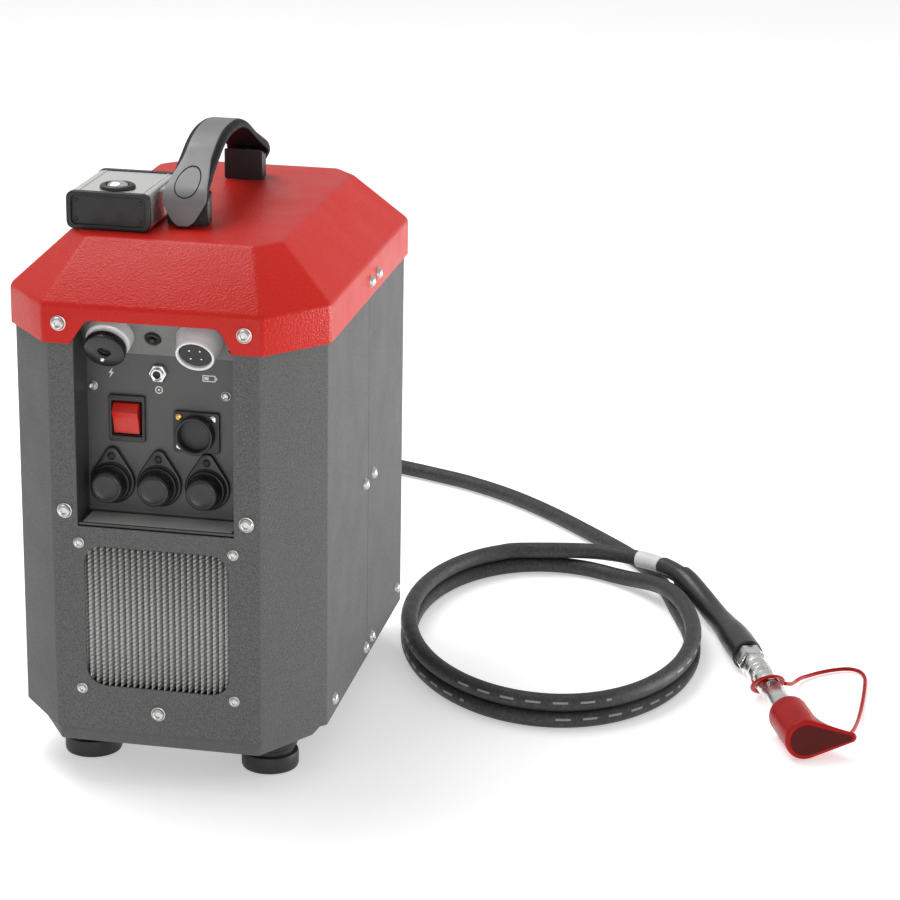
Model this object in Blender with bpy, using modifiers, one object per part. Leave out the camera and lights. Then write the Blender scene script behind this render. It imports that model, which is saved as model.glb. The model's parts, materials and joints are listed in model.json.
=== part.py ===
"""Portable battery-driven hydraulic power unit with its pressure hose.

Metres, +Z up. The origin is on the floor, under the middle of the casing. The front is at -Y.
"""
import math

import bmesh
import bpy
from mathutils import Matrix, Vector

# ---- driving dimensions -------------------------------------------------------------------
GAP = 0.0003            # left between pieces that touch
SHEET = 0.0015          # casing sheet

BODY_HALF_X = 0.105     # casing, half width
BODY_HALF_Y = 0.1611    # casing, half depth
CORNER_X = 0.0355       # corner chamfer along X
CORNER_Y = 0.0414       # corner chamfer along Y
SHELL_BOTTOM = 0.038
SHELL_TOP = 0.322
SEAM_Y = 0.0038         # where the front shell meets the rear shell

PAN_BOTTOM = 0.028
PAN_TOP = 0.058
PAN_HALF_X = 0.094      # the pan's floor is narrower than the casing
PAN_HALF_Y = 0.1590

LID_PROUD = 0.0025      # the lid's skirt stands this far outside the casing
LID_SHEET = 0.002
SKIRT_BOTTOM = 0.3048
SKIRT_TOP = 0.3304
LID_TOP = 0.365
CROWN_HALF_X = 0.0709   # flat top of the lid
CROWN_HALF_Y = 0.1200
CROWN_CORNER_X = 0.0154
CROWN_CORNER_Y = 0.0178
NOTCH_TOP = 0.3195
NOTCH_HALF_TOP = 0.041
NOTCH_HALF_BOTTOM = 0.050

FOOT_RADIUS = 0.0195
FOOT_X = 0.0625
FOOT_Y = 0.108

RECESS_HALF_X = 0.0525
LEDGE_Z = 0.183         # upper face of the ledge under the sockets
PANEL_Y = -0.134        # face of the upright part of the control panel
PANEL_BEND_Z = 0.292    # above this the panel leans forward
PANEL_LEAN = math.radians(30)
PANEL_TOP = 0.3235

WINDOW_HALF_X = 0.0487
WINDOW_Z = (0.070, 0.168)
WINDOW_RADIUS = 0.015
FILTER_PLEATS = 18
FILTER_Z = (0.0635, 0.1745)

LID_SCREW = (0.061, 0.318)              # X and Z of the lid's front screws

POWER_CONNECTOR = (-0.0325, 0.3084)     # X and Z on the leaning panel
CHARGE_CONNECTOR = (0.027, 0.3084)
LAMP = (-0.005, 0.306)
JACK = (-0.004, 0.2805)
SWITCH = (-0.0255, 0.2485)
SWITCH_TILT = math.radians(8.5)
AUX_SOCKET = (0.0213, 0.2425)
OUTLET_X = (-0.036, -0.0043, 0.0282)
OUTLET_Z = 0.205

PIVOT_Z = 0.3815        # the handle turns about this height
PIN_RADIUS = 0.0032
HANDLE_FOOT_Z = 0.3662
HANDLE_TOP_Z = 0.4195
LUG_INSIDE = 0.0773     # from the middle of the handle to the inner faces of its lugs
LUG_HALF_WIDTH = 0.015

BOX_X = (-0.073, -0.018)
BOX_Y = (-0.0995, -0.0375)
BOX_Z = (0.3660, 0.3895)
BEZEL_DEPTH = 0.0047
BUTTON = (-0.0445, -0.085)

MOTOR_Z = 0.100
MOTOR_RADIUS = 0.040
SHAFT_RADIUS = 0.005

HOSE_RADIUS = 0.00625
HOSE_EXIT = (-0.030, 0.1913, 0.072)
COIL_CENTRE = (0.215, 0.150)
COIL_HALF_WIDTH = 0.107
COIL_HALF_LENGTH = 0.156
COIL_TURN = math.radians(11.5)

COUPLER_START = Vector((0.3665, 0.128, 0.0130))   # where the hose ends in its hex fitting
COUPLER_HEADING = math.radians(-70.5)
COUPLER_RISE = math.radians(0.84)

# the hose from the bulkhead fitting round to the coil, along its middle
RUN_ROUTE = [
    HOSE_EXIT,
    (-0.0300, 0.215, 0.0720), (-0.0310, 0.245, 0.0665), (-0.0345, 0.280, 0.0530), (-0.0400, 0.318, 0.0350),
    (-0.0460, 0.356, 0.0185), (-0.0510, 0.394, 0.0090), (-0.0545, 0.432, HOSE_RADIUS),
    (-0.0550, 0.462, HOSE_RADIUS), (-0.0517, 0.4845, HOSE_RADIUS), (-0.0421, 0.5035, HOSE_RADIUS),
    (-0.0275, 0.5172, HOSE_RADIUS), (-0.0096, 0.5240, HOSE_RADIUS), (0.0100, 0.5235, HOSE_RADIUS),
    (0.0310, 0.5165, HOSE_RADIUS), (0.0600, 0.5045, HOSE_RADIUS), (0.0905, 0.4902, HOSE_RADIUS),
    (0.1307, 0.4640, HOSE_RADIUS), (0.1714, 0.4281, HOSE_RADIUS), (0.2120, 0.3849, HOSE_RADIUS),
    (0.2500, 0.3425, HOSE_RADIUS), (0.2760, 0.3050, HOSE_RADIUS), (0.2960, 0.2700, HOSE_RADIUS),
]
# the hose from the coil to its hex fitting
END_ROUTE = [
    (0.2530, 0.3015, 0.0198), (0.2650, 0.2960, 0.0202), (0.2860, 0.2810, 0.0210), (0.3040, 0.2600, 0.0205),
    (0.3190, 0.2390, 0.0150), (0.3320, 0.2160, 0.0110), (0.3440, 0.1900, 0.0106), (0.3555, 0.1600, 0.0118),
    tuple(COUPLER_START),
]
# the strap of the dust cap, from its ring round on the floor to the cap's lug
STRAP_ROUTE = [
    (0.3975, 0.0785, 0.0142), (0.4010, 0.0900, 0.0095), (0.4030, 0.1050, 0.0050), (0.4065, 0.1180, 0.0030),
    (0.4130, 0.1275, 0.0022), (0.4205, 0.1355, 0.0020), (0.4310, 0.1430, 0.0020), (0.4410, 0.1465, 0.0020),
    (0.4485, 0.1430, 0.0020), (0.4525, 0.1330, 0.0020), (0.4535, 0.1180, 0.0020), (0.4535, 0.0950, 0.0020),
    (0.4530, 0.0700, 0.0030), (0.4520, 0.0410, 0.0062), (0.4505, 0.0130, 0.0118), (0.4490, -0.0012, 0.0150),
]

# colour, roughness, metallic
FINISHES = {
    "grey_paint": ((0.10, 0.10, 0.10), 0.45, 0.3),
    "red_paint": ((0.52, 0.03, 0.02), 0.40, 0.0),
    "steel": ((0.60, 0.60, 0.58), 0.30, 1.0),
    "chrome": ((0.80, 0.80, 0.80), 0.12, 1.0),
    "aluminium": ((0.65, 0.65, 0.65), 0.35, 1.0),
    "rubber": ((0.015, 0.015, 0.015), 0.65, 0.0),
    "black_plastic": ((0.025, 0.025, 0.027), 0.40, 0.0),
    "handle_plastic": ((0.07, 0.07, 0.075), 0.50, 0.0),
    "red_plastic": ((0.45, 0.01, 0.01), 0.25, 0.0),
    "filter_paper": ((0.25, 0.25, 0.24), 0.90, 0.0),
    "hose": ((0.02, 0.02, 0.02), 0.55, 0.0),
    "board_green": ((0.02, 0.12, 0.05), 0.45, 0.0),
}

PLANES = {
    "XY": Matrix.Identity(4),
    "XZ": Matrix(((1, 0, 0, 0), (0, 0, -1, 0), (0, 1, 0, 0), (0, 0, 0, 1))),
    "YZ": Matrix(((0, 0, 1, 0), (1, 0, 0, 0), (0, 1, 0, 0), (0, 0, 0, 1))),
}


# ---- scene and materials ------------------------------------------------------------------
def clear_scene():
    for item in list(bpy.data.objects):
        bpy.data.objects.remove(item, do_unlink=True)


def make_collection(name):
    collection = bpy.data.collections.new(name)
    bpy.context.scene.collection.children.link(collection)
    return collection


def finish(kind, name):
    """A piece's own material, of one of the finishes."""
    colour, roughness, metallic = FINISHES[kind]
    made = bpy.data.materials.new(name)
    made.use_nodes = True
    shader = made.node_tree.nodes["Principled BSDF"]
    shader.inputs["Base Color"].default_value = (*colour, 1.0)
    shader.inputs["Roughness"].default_value = roughness
    shader.inputs["Metallic"].default_value = metallic
    return made


def add_object(name, mesh, matrix=None):
    made = bpy.data.objects.new(name, mesh)
    if matrix is not None:
        made.matrix_world = matrix
    PARTS.objects.link(made)
    return made


def dress(target, material, smooth=True):
    """Give an object its material, and smooth shading with sharp corners kept."""
    target.data.materials.clear()
    target.data.materials.append(finish(material, target.name))
    if smooth:
        target.data.shade_smooth()
        target.data.set_sharp_from_angle(angle=math.radians(35))
    return target


# ---- making shapes ------------------------------------------------------------------------
def mesh_from(name, build):
    work = bmesh.new()
    build(work)
    bmesh.ops.recalc_face_normals(work, faces=work.faces)
    mesh = bpy.data.meshes.new(name)
    work.to_mesh(mesh)
    work.free()
    return mesh


def block(name, low, high):
    """A box between two corners."""
    low, high = Vector(low), Vector(high)
    size = Matrix.Diagonal((*(high - low), 1.0))
    mesh = mesh_from(name, lambda work: bmesh.ops.create_cube(work, size=1.0, matrix=size))
    return add_object(name, mesh, Matrix.Translation((low + high) / 2))


def cylinder(name, radius, length, middle, axis=(0, 0, 1), steps=32):
    turn = Vector((0, 0, 1)).rotation_difference(Vector(axis)).to_matrix().to_4x4()
    mesh = mesh_from(name, lambda work: bmesh.ops.create_cone(
        work, cap_ends=True, segments=steps, radius1=radius, radius2=radius, depth=length))
    return add_object(name, mesh, Matrix.Translation(middle) @ turn)


def flat_mesh(curve_object):
    """Replace a curve object by its mesh, with the caps welded on."""
    graph = bpy.context.evaluated_depsgraph_get()
    graph.update()
    mesh = bpy.data.meshes.new_from_object(curve_object.evaluated_get(graph))
    work = bmesh.new()
    work.from_mesh(mesh)
    bmesh.ops.remove_doubles(work, verts=work.verts, dist=0.000005)
    bmesh.ops.recalc_face_normals(work, faces=work.faces)
    work.to_mesh(mesh)
    work.free()
    name, place = curve_object.name, curve_object.matrix_world.copy()
    bpy.data.objects.remove(curve_object, do_unlink=True)
    mesh.name = name
    return add_object(name, mesh, place)


def plate(name, outlines, thickness, plane="XY", middle=(0, 0, 0)):
    """A flat piece: one closed outline, or several whose inner ones are holes."""
    curve = bpy.data.curves.new(name, "CURVE")
    curve.dimensions = "2D"
    curve.fill_mode = "BOTH"
    curve.extrude = thickness / 2
    for outline in outlines:
        spline = curve.splines.new("POLY")
        spline.points.add(len(outline) - 1)
        for point, (u, v) in zip(spline.points, outline):
            point.co = (u, v, 0.0, 1.0)
        spline.use_cyclic_u = True
    made = add_object(name, curve, Matrix.Translation(middle) @ PLANES[plane])
    bpy.context.view_layer.update()
    return flat_mesh(made)


def turned(name, profile, base, axis=(0, 0, 1), steps=32):
    """A turned piece. The profile is (radius, height) from the top middle down the outside."""
    mesh = bpy.data.meshes.new(name)
    edges = [(i, i + 1) for i in range(len(profile) - 1)]
    mesh.from_pydata([(radius, 0.0, height) for radius, height in profile], edges, [])
    turn = Vector((0, 0, 1)).rotation_difference(Vector(axis)).to_matrix().to_4x4()
    made = add_object(name, mesh, Matrix.Translation(base) @ turn)
    screw = made.modifiers.new("turn", "SCREW")
    screw.axis = "Z"
    screw.angle = math.tau
    screw.steps = steps
    screw.render_steps = steps
    screw.use_merge_vertices = True
    screw.merge_threshold = 0.00001
    return made


def baked(target):
    """Replace an object's mesh by what its modifiers make of it, so that it can be joined or cut."""
    graph = bpy.context.evaluated_depsgraph_get()
    graph.update()
    mesh = bpy.data.meshes.new_from_object(target.evaluated_get(graph))
    target.modifiers.clear()
    target.data = mesh
    return target


def move_origin(target, place):
    """Put an object's origin at a place without moving the object."""
    shift = Matrix.Translation(target.matrix_world.inverted() @ Vector(place))
    target.data.transform(shift.inverted())
    target.matrix_world = target.matrix_world @ shift
    return target


def boolean(target, other, operation):
    step = target.modifiers.new(operation.lower(), "BOOLEAN")
    step.operation = operation
    step.solver = "EXACT"
    step.object = other
    PARTS.objects.unlink(other)
    CUTTERS.objects.link(other)
    other.hide_render = True
    other.display_type = "WIRE"
    return target


def cut(target, *cutters):
    for cutter in cutters:
        boolean(target, cutter, "DIFFERENCE")
    return target


def join(target, *others):
    for other in others:
        boolean(target, other, "UNION")
    return target


def bevel(target, width, segments=1):
    step = target.modifiers.new("bevel", "BEVEL")
    step.width = width
    step.segments = segments
    step.limit_method = "ANGLE"
    step.angle_limit = math.radians(40)
    return target


def wall(name, points, bottom, top, thickness):
    """A folded upright sheet along a line of points, its thickness to the left of the line."""
    def build(work):
        corners = [work.verts.new((x, y, bottom)) for x, y in points]
        edges = [work.edges.new(pair) for pair in zip(corners, corners[1:])]
        raised = bmesh.ops.extrude_edge_only(work, edges=edges)["geom"]
        lifted = [item for item in raised if isinstance(item, bmesh.types.BMVert)]
        bmesh.ops.translate(work, verts=lifted, vec=(0, 0, top - bottom))
    return thicken(add_object(name, mesh_from(name, build)), thickness, points)


def thicken(target, thickness, points=None):
    """Give an open sheet its thickness, towards the inside of the casing."""
    if points is not None:
        middle = target.data.polygons[len(target.data.polygons) // 2]
        if middle.normal.dot(Vector((middle.center.x, middle.center.y, 0))) < 0:
            target.data.flip_normals()
    step = target.modifiers.new("sheet", "SOLIDIFY")
    step.thickness = thickness
    step.offset = -1.0
    step.use_even_offset = True
    return target


def loft(name, rings, closed_top=False, closed_bottom=False):
    """An open shell through rings of equal point counts, given from the bottom up."""
    def build(work):
        levels = [[work.verts.new(point) for point in ring] for ring in rings]
        for lower, upper in zip(levels, levels[1:]):
            count = len(lower)
            for i in range(count):
                j = (i + 1) % count
                work.faces.new((lower[i], lower[j], upper[j], upper[i]))
        if closed_top:
            work.faces.new(levels[-1])
        if closed_bottom:
            work.faces.new(list(reversed(levels[0])))
    mesh = bpy.data.meshes.new(name)
    work = bmesh.new()
    build(work)
    work.to_mesh(mesh)
    work.free()
    return add_object(name, mesh)


def tube(name, points, radius, resolution=2, caps=True):
    curve = bpy.data.curves.new(name, "CURVE")
    curve.dimensions = "3D"
    curve.bevel_depth = radius
    curve.bevel_resolution = resolution
    curve.use_fill_caps = caps
    spline = curve.splines.new("POLY")
    spline.points.add(len(points) - 1)
    for point, place in zip(spline.points, points):
        point.co = (*place, 1.0)
    return add_object(name, curve)


def sleeve(name, points, inner, outer):
    """A hollow tube along a line of points."""
    made = flat_mesh(tube(name, points, outer, caps=False))
    step = made.modifiers.new("wall", "SOLIDIFY")
    step.thickness = outer - inner
    step.offset = -1.0
    return made


# ---- outlines and routes ------------------------------------------------------------------
def octagon(half_x, half_y, corner_x, corner_y, height=None):
    flat = [
        (half_x, -half_y + corner_y), (half_x, half_y - corner_y),
        (half_x - corner_x, half_y), (-half_x + corner_x, half_y),
        (-half_x, half_y - corner_y), (-half_x, -half_y + corner_y),
        (-half_x + corner_x, -half_y), (half_x - corner_x, -half_y),
    ]
    return flat if height is None else [(x, y, height) for x, y in flat]


def arc(centre, radius, start, end, steps):
    return [(centre[0] + radius * math.cos(a), centre[1] + radius * math.sin(a))
            for a in (start + (end - start) * i / steps for i in range(steps + 1))]


def rounded_rectangle(left, right, low, high, radius, steps=4):
    quarter = math.pi / 2
    corners = [(right - radius, low + radius), (right - radius, high - radius),
               (left + radius, high - radius), (left + radius, low + radius)]
    points = []
    for i, corner in enumerate(corners):
        points += arc(corner, radius, (i - 1) * quarter, i * quarter, steps)
    return points


def drop(centre, radius, tip, tip_radius, steps=12):
    """A disc and a smaller disc straight above it, wrapped by one outline."""
    rise = tip[1] - centre[1]
    lean = math.asin((radius - tip_radius) / rise)
    return (arc(centre, radius, math.pi - lean, math.tau + lean, steps)
            + arc(tip, tip_radius, lean, math.pi - lean, steps // 2))


def smooth_route(points, steps):
    """Points on a smooth curve through the route's own points."""
    places = [Vector(point) for point in points]
    padded = [2 * places[0] - places[1], *places, 2 * places[-1] - places[-2]]
    line = []
    for before, start, end, after in zip(padded, padded[1:], padded[2:], padded[3:]):
        for i in range(steps):
            t = i / steps
            line.append(0.5 * (2 * start + (end - before) * t
                               + (2 * before - 5 * start + 4 * end - after) * t * t
                               + (3 * start - before - 3 * end + after) * t ** 3))
    lowest = min(place.z for place in places)
    return [Vector((p.x, p.y, max(p.z, lowest))) for p in line + [places[-1]]]


def coil_outline(spread, steps=64):
    """The coil's oval, widened all round by spread."""
    points = []
    for i in range(steps):
        angle = math.tau * i / steps
        along = Vector((COIL_HALF_WIDTH * math.cos(angle), COIL_HALF_LENGTH * math.sin(angle)))
        out = Vector((math.cos(angle) / COIL_HALF_WIDTH, math.sin(angle) / COIL_HALF_LENGTH)).normalized()
        place = Matrix.Rotation(COIL_TURN, 2) @ (along + out * spread)
        points.append((COIL_CENTRE[0] + place.x, COIL_CENTRE[1] + place.y))
    return points


def leaning_panel(place):
    """The point of the leaning panel's face at this X and Z, and the direction out of it."""
    x, z = place
    y = PANEL_Y - (z - PANEL_BEND_Z) * math.tan(PANEL_LEAN)
    out = Vector((0, -math.cos(PANEL_LEAN), -math.sin(PANEL_LEAN)))
    return Vector((x, y, z)), out


# ---- casing -------------------------------------------------------------------------------
def base_pan():
    """The pan under the casing. Its sides slope out from a narrow floor to the shells."""
    corner_x = PAN_HALF_X - 0.068
    rim = BODY_HALF_X - SHEET - 0.0005
    rim_corner = rim - 0.0685
    rings = [
        octagon(PAN_HALF_X, PAN_HALF_Y, corner_x, CORNER_Y, PAN_BOTTOM),
        octagon(rim, PAN_HALF_Y, rim_corner, CORNER_Y, SHELL_BOTTOM + 0.0015),
        octagon(rim, PAN_HALF_Y, rim_corner, CORNER_Y, PAN_TOP),
    ]
    made = loft("base_pan", rings, closed_bottom=True)
    return dress(thicken(made, SHEET), "grey_paint")


def half_shell(name, front):
    """One half of the folded casing wall, front or rear of the side seams."""
    side = -1 if front else 1
    edge = SEAM_Y + side * GAP
    points = [
        (-BODY_HALF_X, edge), (-BODY_HALF_X, side * (BODY_HALF_Y - CORNER_Y)),
        (-BODY_HALF_X + CORNER_X, side * BODY_HALF_Y), (BODY_HALF_X - CORNER_X, side * BODY_HALF_Y),
        (BODY_HALF_X, side * (BODY_HALF_Y - CORNER_Y)), (BODY_HALF_X, edge),
    ]
    return wall(name, points, SHELL_BOTTOM, SHELL_TOP, SHEET)


def screw_holes(name, face):
    return [cylinder(f"{name}_{i}", 0.0024, 0.02, (x, face, LID_SCREW[1]), (0, 1, 0), 16)
            for i, x in enumerate((-LID_SCREW[0], LID_SCREW[0]))]


def front_shell():
    made = half_shell("front_shell", front=True)
    reach = (-BODY_HALF_Y - 0.01, -BODY_HALF_Y + 0.01)
    recess = block("recess_cutter", (-RECESS_HALF_X, reach[0], LEDGE_Z - 0.002),
                   (RECESS_HALF_X, reach[1], SHELL_TOP + 0.01))
    outline = rounded_rectangle(-WINDOW_HALF_X, WINDOW_HALF_X, *WINDOW_Z, WINDOW_RADIUS)
    window = plate("window_cutter", [outline], 0.02, "XZ", (0, -BODY_HALF_Y, 0))
    return dress(cut(made, recess, window, *screw_holes("front_hole_cutter", -BODY_HALF_Y)), "grey_paint")


def rear_shell():
    made = half_shell("rear_shell", front=False)
    hole = cylinder("bulkhead_cutter", 0.0089, 0.02, (HOSE_EXIT[0], BODY_HALF_Y, HOSE_EXIT[2]), (0, 1, 0))
    return dress(cut(made, hole, *screw_holes("rear_hole_cutter", BODY_HALF_Y)), "grey_paint")


def lid():
    """A hipped lid with an upright skirt, notched at the front over the connectors."""
    skirt = (BODY_HALF_X + LID_PROUD, BODY_HALF_Y + LID_PROUD, CORNER_X, CORNER_Y)
    rings = [
        octagon(*skirt, SKIRT_BOTTOM),
        octagon(*skirt, SKIRT_TOP),
        octagon(CROWN_HALF_X, CROWN_HALF_Y, CROWN_CORNER_X, CROWN_CORNER_Y, LID_TOP),
    ]
    made = thicken(loft("lid", rings, closed_top=True), LID_SHEET)
    front = -BODY_HALF_Y - LID_PROUD
    outline = [(-NOTCH_HALF_BOTTOM, SKIRT_BOTTOM - 0.005), (NOTCH_HALF_BOTTOM, SKIRT_BOTTOM - 0.005),
               (NOTCH_HALF_BOTTOM, SKIRT_BOTTOM), (NOTCH_HALF_TOP, NOTCH_TOP),
               (-NOTCH_HALF_TOP, NOTCH_TOP), (-NOTCH_HALF_BOTTOM, SKIRT_BOTTOM)]
    notch = plate("notch_cutter", [outline], 0.012, "XZ", (0, front, 0))
    holes = screw_holes("lid_front_cutter", front) + screw_holes("lid_rear_cutter", -front)
    return dress(cut(made, notch, *holes), "red_paint")


def lid_screw(name, x, side):
    """A button-head screw that holds the lid's skirt to a shell, in front or behind."""
    face = side * (BODY_HALF_Y + LID_PROUD + GAP)
    profile = [(0, 0.0028), (0.0022, 0.0027), (0.0041, 0.0018), (0.0050, 0.0004), (0.0050, 0), (0.0020, 0),
               (0.0020, -0.0085), (0, -0.0085)]
    made = turned(name, profile, (x, face, LID_SCREW[1]), (0, side, 0), 16)
    return dress(made, "steel")


def foot(name, x, y):
    """A round rubber foot."""
    top = PAN_BOTTOM - GAP
    r = FOOT_RADIUS
    profile = [(0, top), (r - 0.001, top), (r, top - 0.001), (r, 0.002), (r - 0.0015, 0), (0, 0)]
    return dress(turned(name, profile, (x, y, 0), steps=24), "rubber")


def filter_element():
    """A pleated paper filter: a zigzag sheet, upright pleats."""
    half = 0.0545
    front, back, paper = -0.1588, -0.1465, 0.0012
    step = 2 * half / FILTER_PLEATS
    ridge = []
    for i in range(FILTER_PLEATS):
        ridge += [(-half + i * step, back - paper), (-half + (i + 0.5) * step, front)]
    ridge.append((half, back - paper))
    outline = ridge + [(x, y + paper) for x, y in reversed(ridge)]
    middle = (0, 0, sum(FILTER_Z) / 2)
    made = plate("filter_element", [outline], FILTER_Z[1] - FILTER_Z[0], "XY", middle)
    return dress(made, "filter_paper", smooth=False)


def filter_frame():
    """The frame that holds the filter behind its window."""
    outer = rounded_rectangle(-0.0580, 0.0580, 0.0600, 0.1780, 0.003, 2)
    inner = rounded_rectangle(-0.0550, 0.0550, 0.0630, 0.1750, 0.0004, 1)
    made = plate("filter_frame", [outer, inner], 0.0132, "XZ", (0, -0.1526, 0))
    return dress(made, "black_plastic")


# ---- control panel ------------------------------------------------------------------------
def panel_profile(face, floor, front, top):
    """Side view of the panel's hollow, up to its face, floor, front and top."""
    lean = math.tan(PANEL_LEAN)
    return [(front, floor), (face, floor), (face, PANEL_BEND_Z), (face - (top - PANEL_BEND_Z) * lean, top),
            (front, top)]


def control_panel():
    """The sunk panel: a ledge, two side walls, an upright face and a leaning face above it."""
    outer = panel_profile(PANEL_Y + SHEET, LEDGE_Z - SHEET, -BODY_HALF_Y + SHEET + GAP, PANEL_TOP)
    inner = panel_profile(PANEL_Y, LEDGE_Z, -0.175, PANEL_TOP + 0.01)
    half = RECESS_HALF_X + SHEET
    made = plate("control_panel", [outer], 2 * half, "YZ")
    hollow = plate("hollow_cutter", [inner], 2 * (half - SHEET), "YZ")
    x, z = SWITCH
    low = (x - 0.0104, PANEL_Y - 0.01, z - 0.0119)
    hole = block("switch_cutter", low, (x + 0.0104, PANEL_Y + 0.01, z + 0.0119))
    return dress(cut(made, hollow, hole), "grey_paint", smooth=False)


def power_connector():
    base, out = leaning_panel(POWER_CONNECTOR)
    profile = [(0, 0.0090), (0.0125, 0.0090), (0.0125, 0.0024), (0.0136, 0.0020), (0.0136, 0), (0, 0)]
    return dress(turned("power_connector", profile, base + out * GAP, out), "chrome")


def power_cap():
    """The keyed black cap in the left connector."""
    base, out = leaning_panel(POWER_CONNECTOR)
    profile = [(0, 0.0020), (0.0040, 0.0020), (0.0040, 0.0057), (0.0130, 0.0057), (0.0142, 0.0045), (0.0142, 0),
               (0, 0)]
    return dress(turned("power_cap", profile, base + out * 0.0096, out), "black_plastic")


def charge_connector():
    base, out = leaning_panel(CHARGE_CONNECTOR)
    profile = [(0, 0.0050), (0.0106, 0.0050), (0.0106, 0.0160), (0.0118, 0.0160), (0.0124, 0.0154),
               (0.0124, 0.0024), (0.0136, 0.0020), (0.0136, 0), (0, 0)]
    return dress(turned("charge_connector", profile, base + out * GAP, out), "chrome")


def charge_insert():
    base, out = leaning_panel(CHARGE_CONNECTOR)
    profile = [(0, 0.0086), (0.0100, 0.0086), (0.0102, 0.0084), (0.0102, 0), (0, 0)]
    return dress(turned("charge_insert", profile, base + out * 0.0057, out), "black_plastic")


def temperature_lamp():
    base, out = leaning_panel(LAMP)
    profile = [(0, 0.0042), (0.0018, 0.0036), (0.0028, 0.0026), (0.0042, 0.0024), (0.0046, 0.0016), (0.0046, 0),
               (0, 0)]
    return dress(turned("temperature_lamp", profile, base + out * GAP, out, 20), "black_plastic")


def signal_jack():
    x, z = JACK
    profile = [(0, 0.0012), (0.0028, 0.0012), (0.0028, 0.0050), (0.0040, 0.0050), (0.0042, 0.0030),
               (0.0058, 0.0028), (0.0060, 0.0024), (0.0060, 0), (0, 0)]
    return dress(turned("signal_jack", profile, (x, PANEL_Y - GAP, z), (0, -1, 0), 24), "chrome")


def switch_bezel():
    x, z = SWITCH
    outer = rounded_rectangle(x - 0.01225, x + 0.01225, z - 0.01575, z + 0.01575, 0.0015, 2)
    inner = rounded_rectangle(x - 0.0103, x + 0.0103, z - 0.0118, z + 0.0118, 0.0006, 1)
    made = plate("switch_bezel", [outer, inner], 0.0022, "XZ", (0, PANEL_Y - GAP - 0.0011, 0))
    return dress(made, "black_plastic", smooth=False)


def switch_rocker():
    """The rocker, tilted to one side as it rests. Its origin is on its pivot."""
    x, z = SWITCH
    outline = [(-0.0056, -0.0108), (-0.0040, 0), (-0.0056, 0.0108), (0.0005, 0.0106), (0.0040, 0.0060),
               (0.0040, -0.0060), (0.0005, -0.0106)]
    made = plate("switch_rocker", [outline], 0.0192, "YZ")
    made.matrix_world = (Matrix.Translation((x, PANEL_Y, z)) @ Matrix.Rotation(SWITCH_TILT, 4, "X")
                         @ made.matrix_world)
    return dress(made, "red_plastic", smooth=False)


def aux_socket():
    """A square-flanged socket with a round open collar."""
    x, z = AUX_SOCKET
    outline = rounded_rectangle(x - 0.0155, x + 0.0155, z - 0.0138, z + 0.0138, 0.002, 2)
    flange = plate("aux_socket", [outline], 0.0022, "XZ", (0, PANEL_Y - GAP - 0.0011, 0))
    collar = cylinder("aux_collar", 0.0128, 0.0090, (x, PANEL_Y - GAP - 0.0045, z), (0, -1, 0))
    bore = cylinder("aux_bore_cutter", 0.0104, 0.0140, (x, PANEL_Y - 0.0085, z), (0, -1, 0))
    return dress(cut(join(flange, collar), bore), "black_plastic")


def outlet_socket(name, x):
    """A drop-shaped flange with a round boss under the dust cap."""
    outline = drop((x, OUTLET_Z), 0.0153, (x, 0.2235), 0.0050)
    flange = plate(name, [outline], 0.0030, "XZ", (0, PANEL_Y - GAP - 0.0015, 0))
    boss = cylinder(name + "_boss", 0.0126, 0.0070, (x, PANEL_Y - GAP - 0.0035, OUTLET_Z), (0, -1, 0))
    return dress(join(flange, boss), "rubber")


def outlet_cap(name, x):
    """A round rubber cap that pulls off forwards."""
    profile = [(0, 0.0100), (0.0085, 0.0100), (0.0102, 0.0092), (0.0110, 0.0076), (0.0112, 0.0015),
               (0.0118, 0.0008), (0.0118, 0), (0, 0)]
    base = (x, PANEL_Y - 0.0076, OUTLET_Z)
    return dress(turned(name, profile, base, (0, -1, 0), 28), "rubber")


# ---- handle and control box ---------------------------------------------------------------
def soften(points, reaches, steps=5):
    """Round the inner corners of a line. Each corner's curve starts and ends at its own reach."""
    line = [points[0]]
    for i, reach in enumerate(reaches, start=1):
        corner = Vector(points[i])
        start = corner + (Vector(points[i - 1]) - corner).normalized() * reach
        end = corner + (Vector(points[i + 1]) - corner).normalized() * reach
        for k in range(steps + 1):
            t = k / steps
            line.append(tuple(start.lerp(corner, t).lerp(corner.lerp(end, t), t)))
    line.append(points[-1])
    return line


def mirrored(line):
    """A side view's line from the front tip, carried on to the rear tip."""
    return line + [(-y, z) for y, z in reversed(line)]


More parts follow.
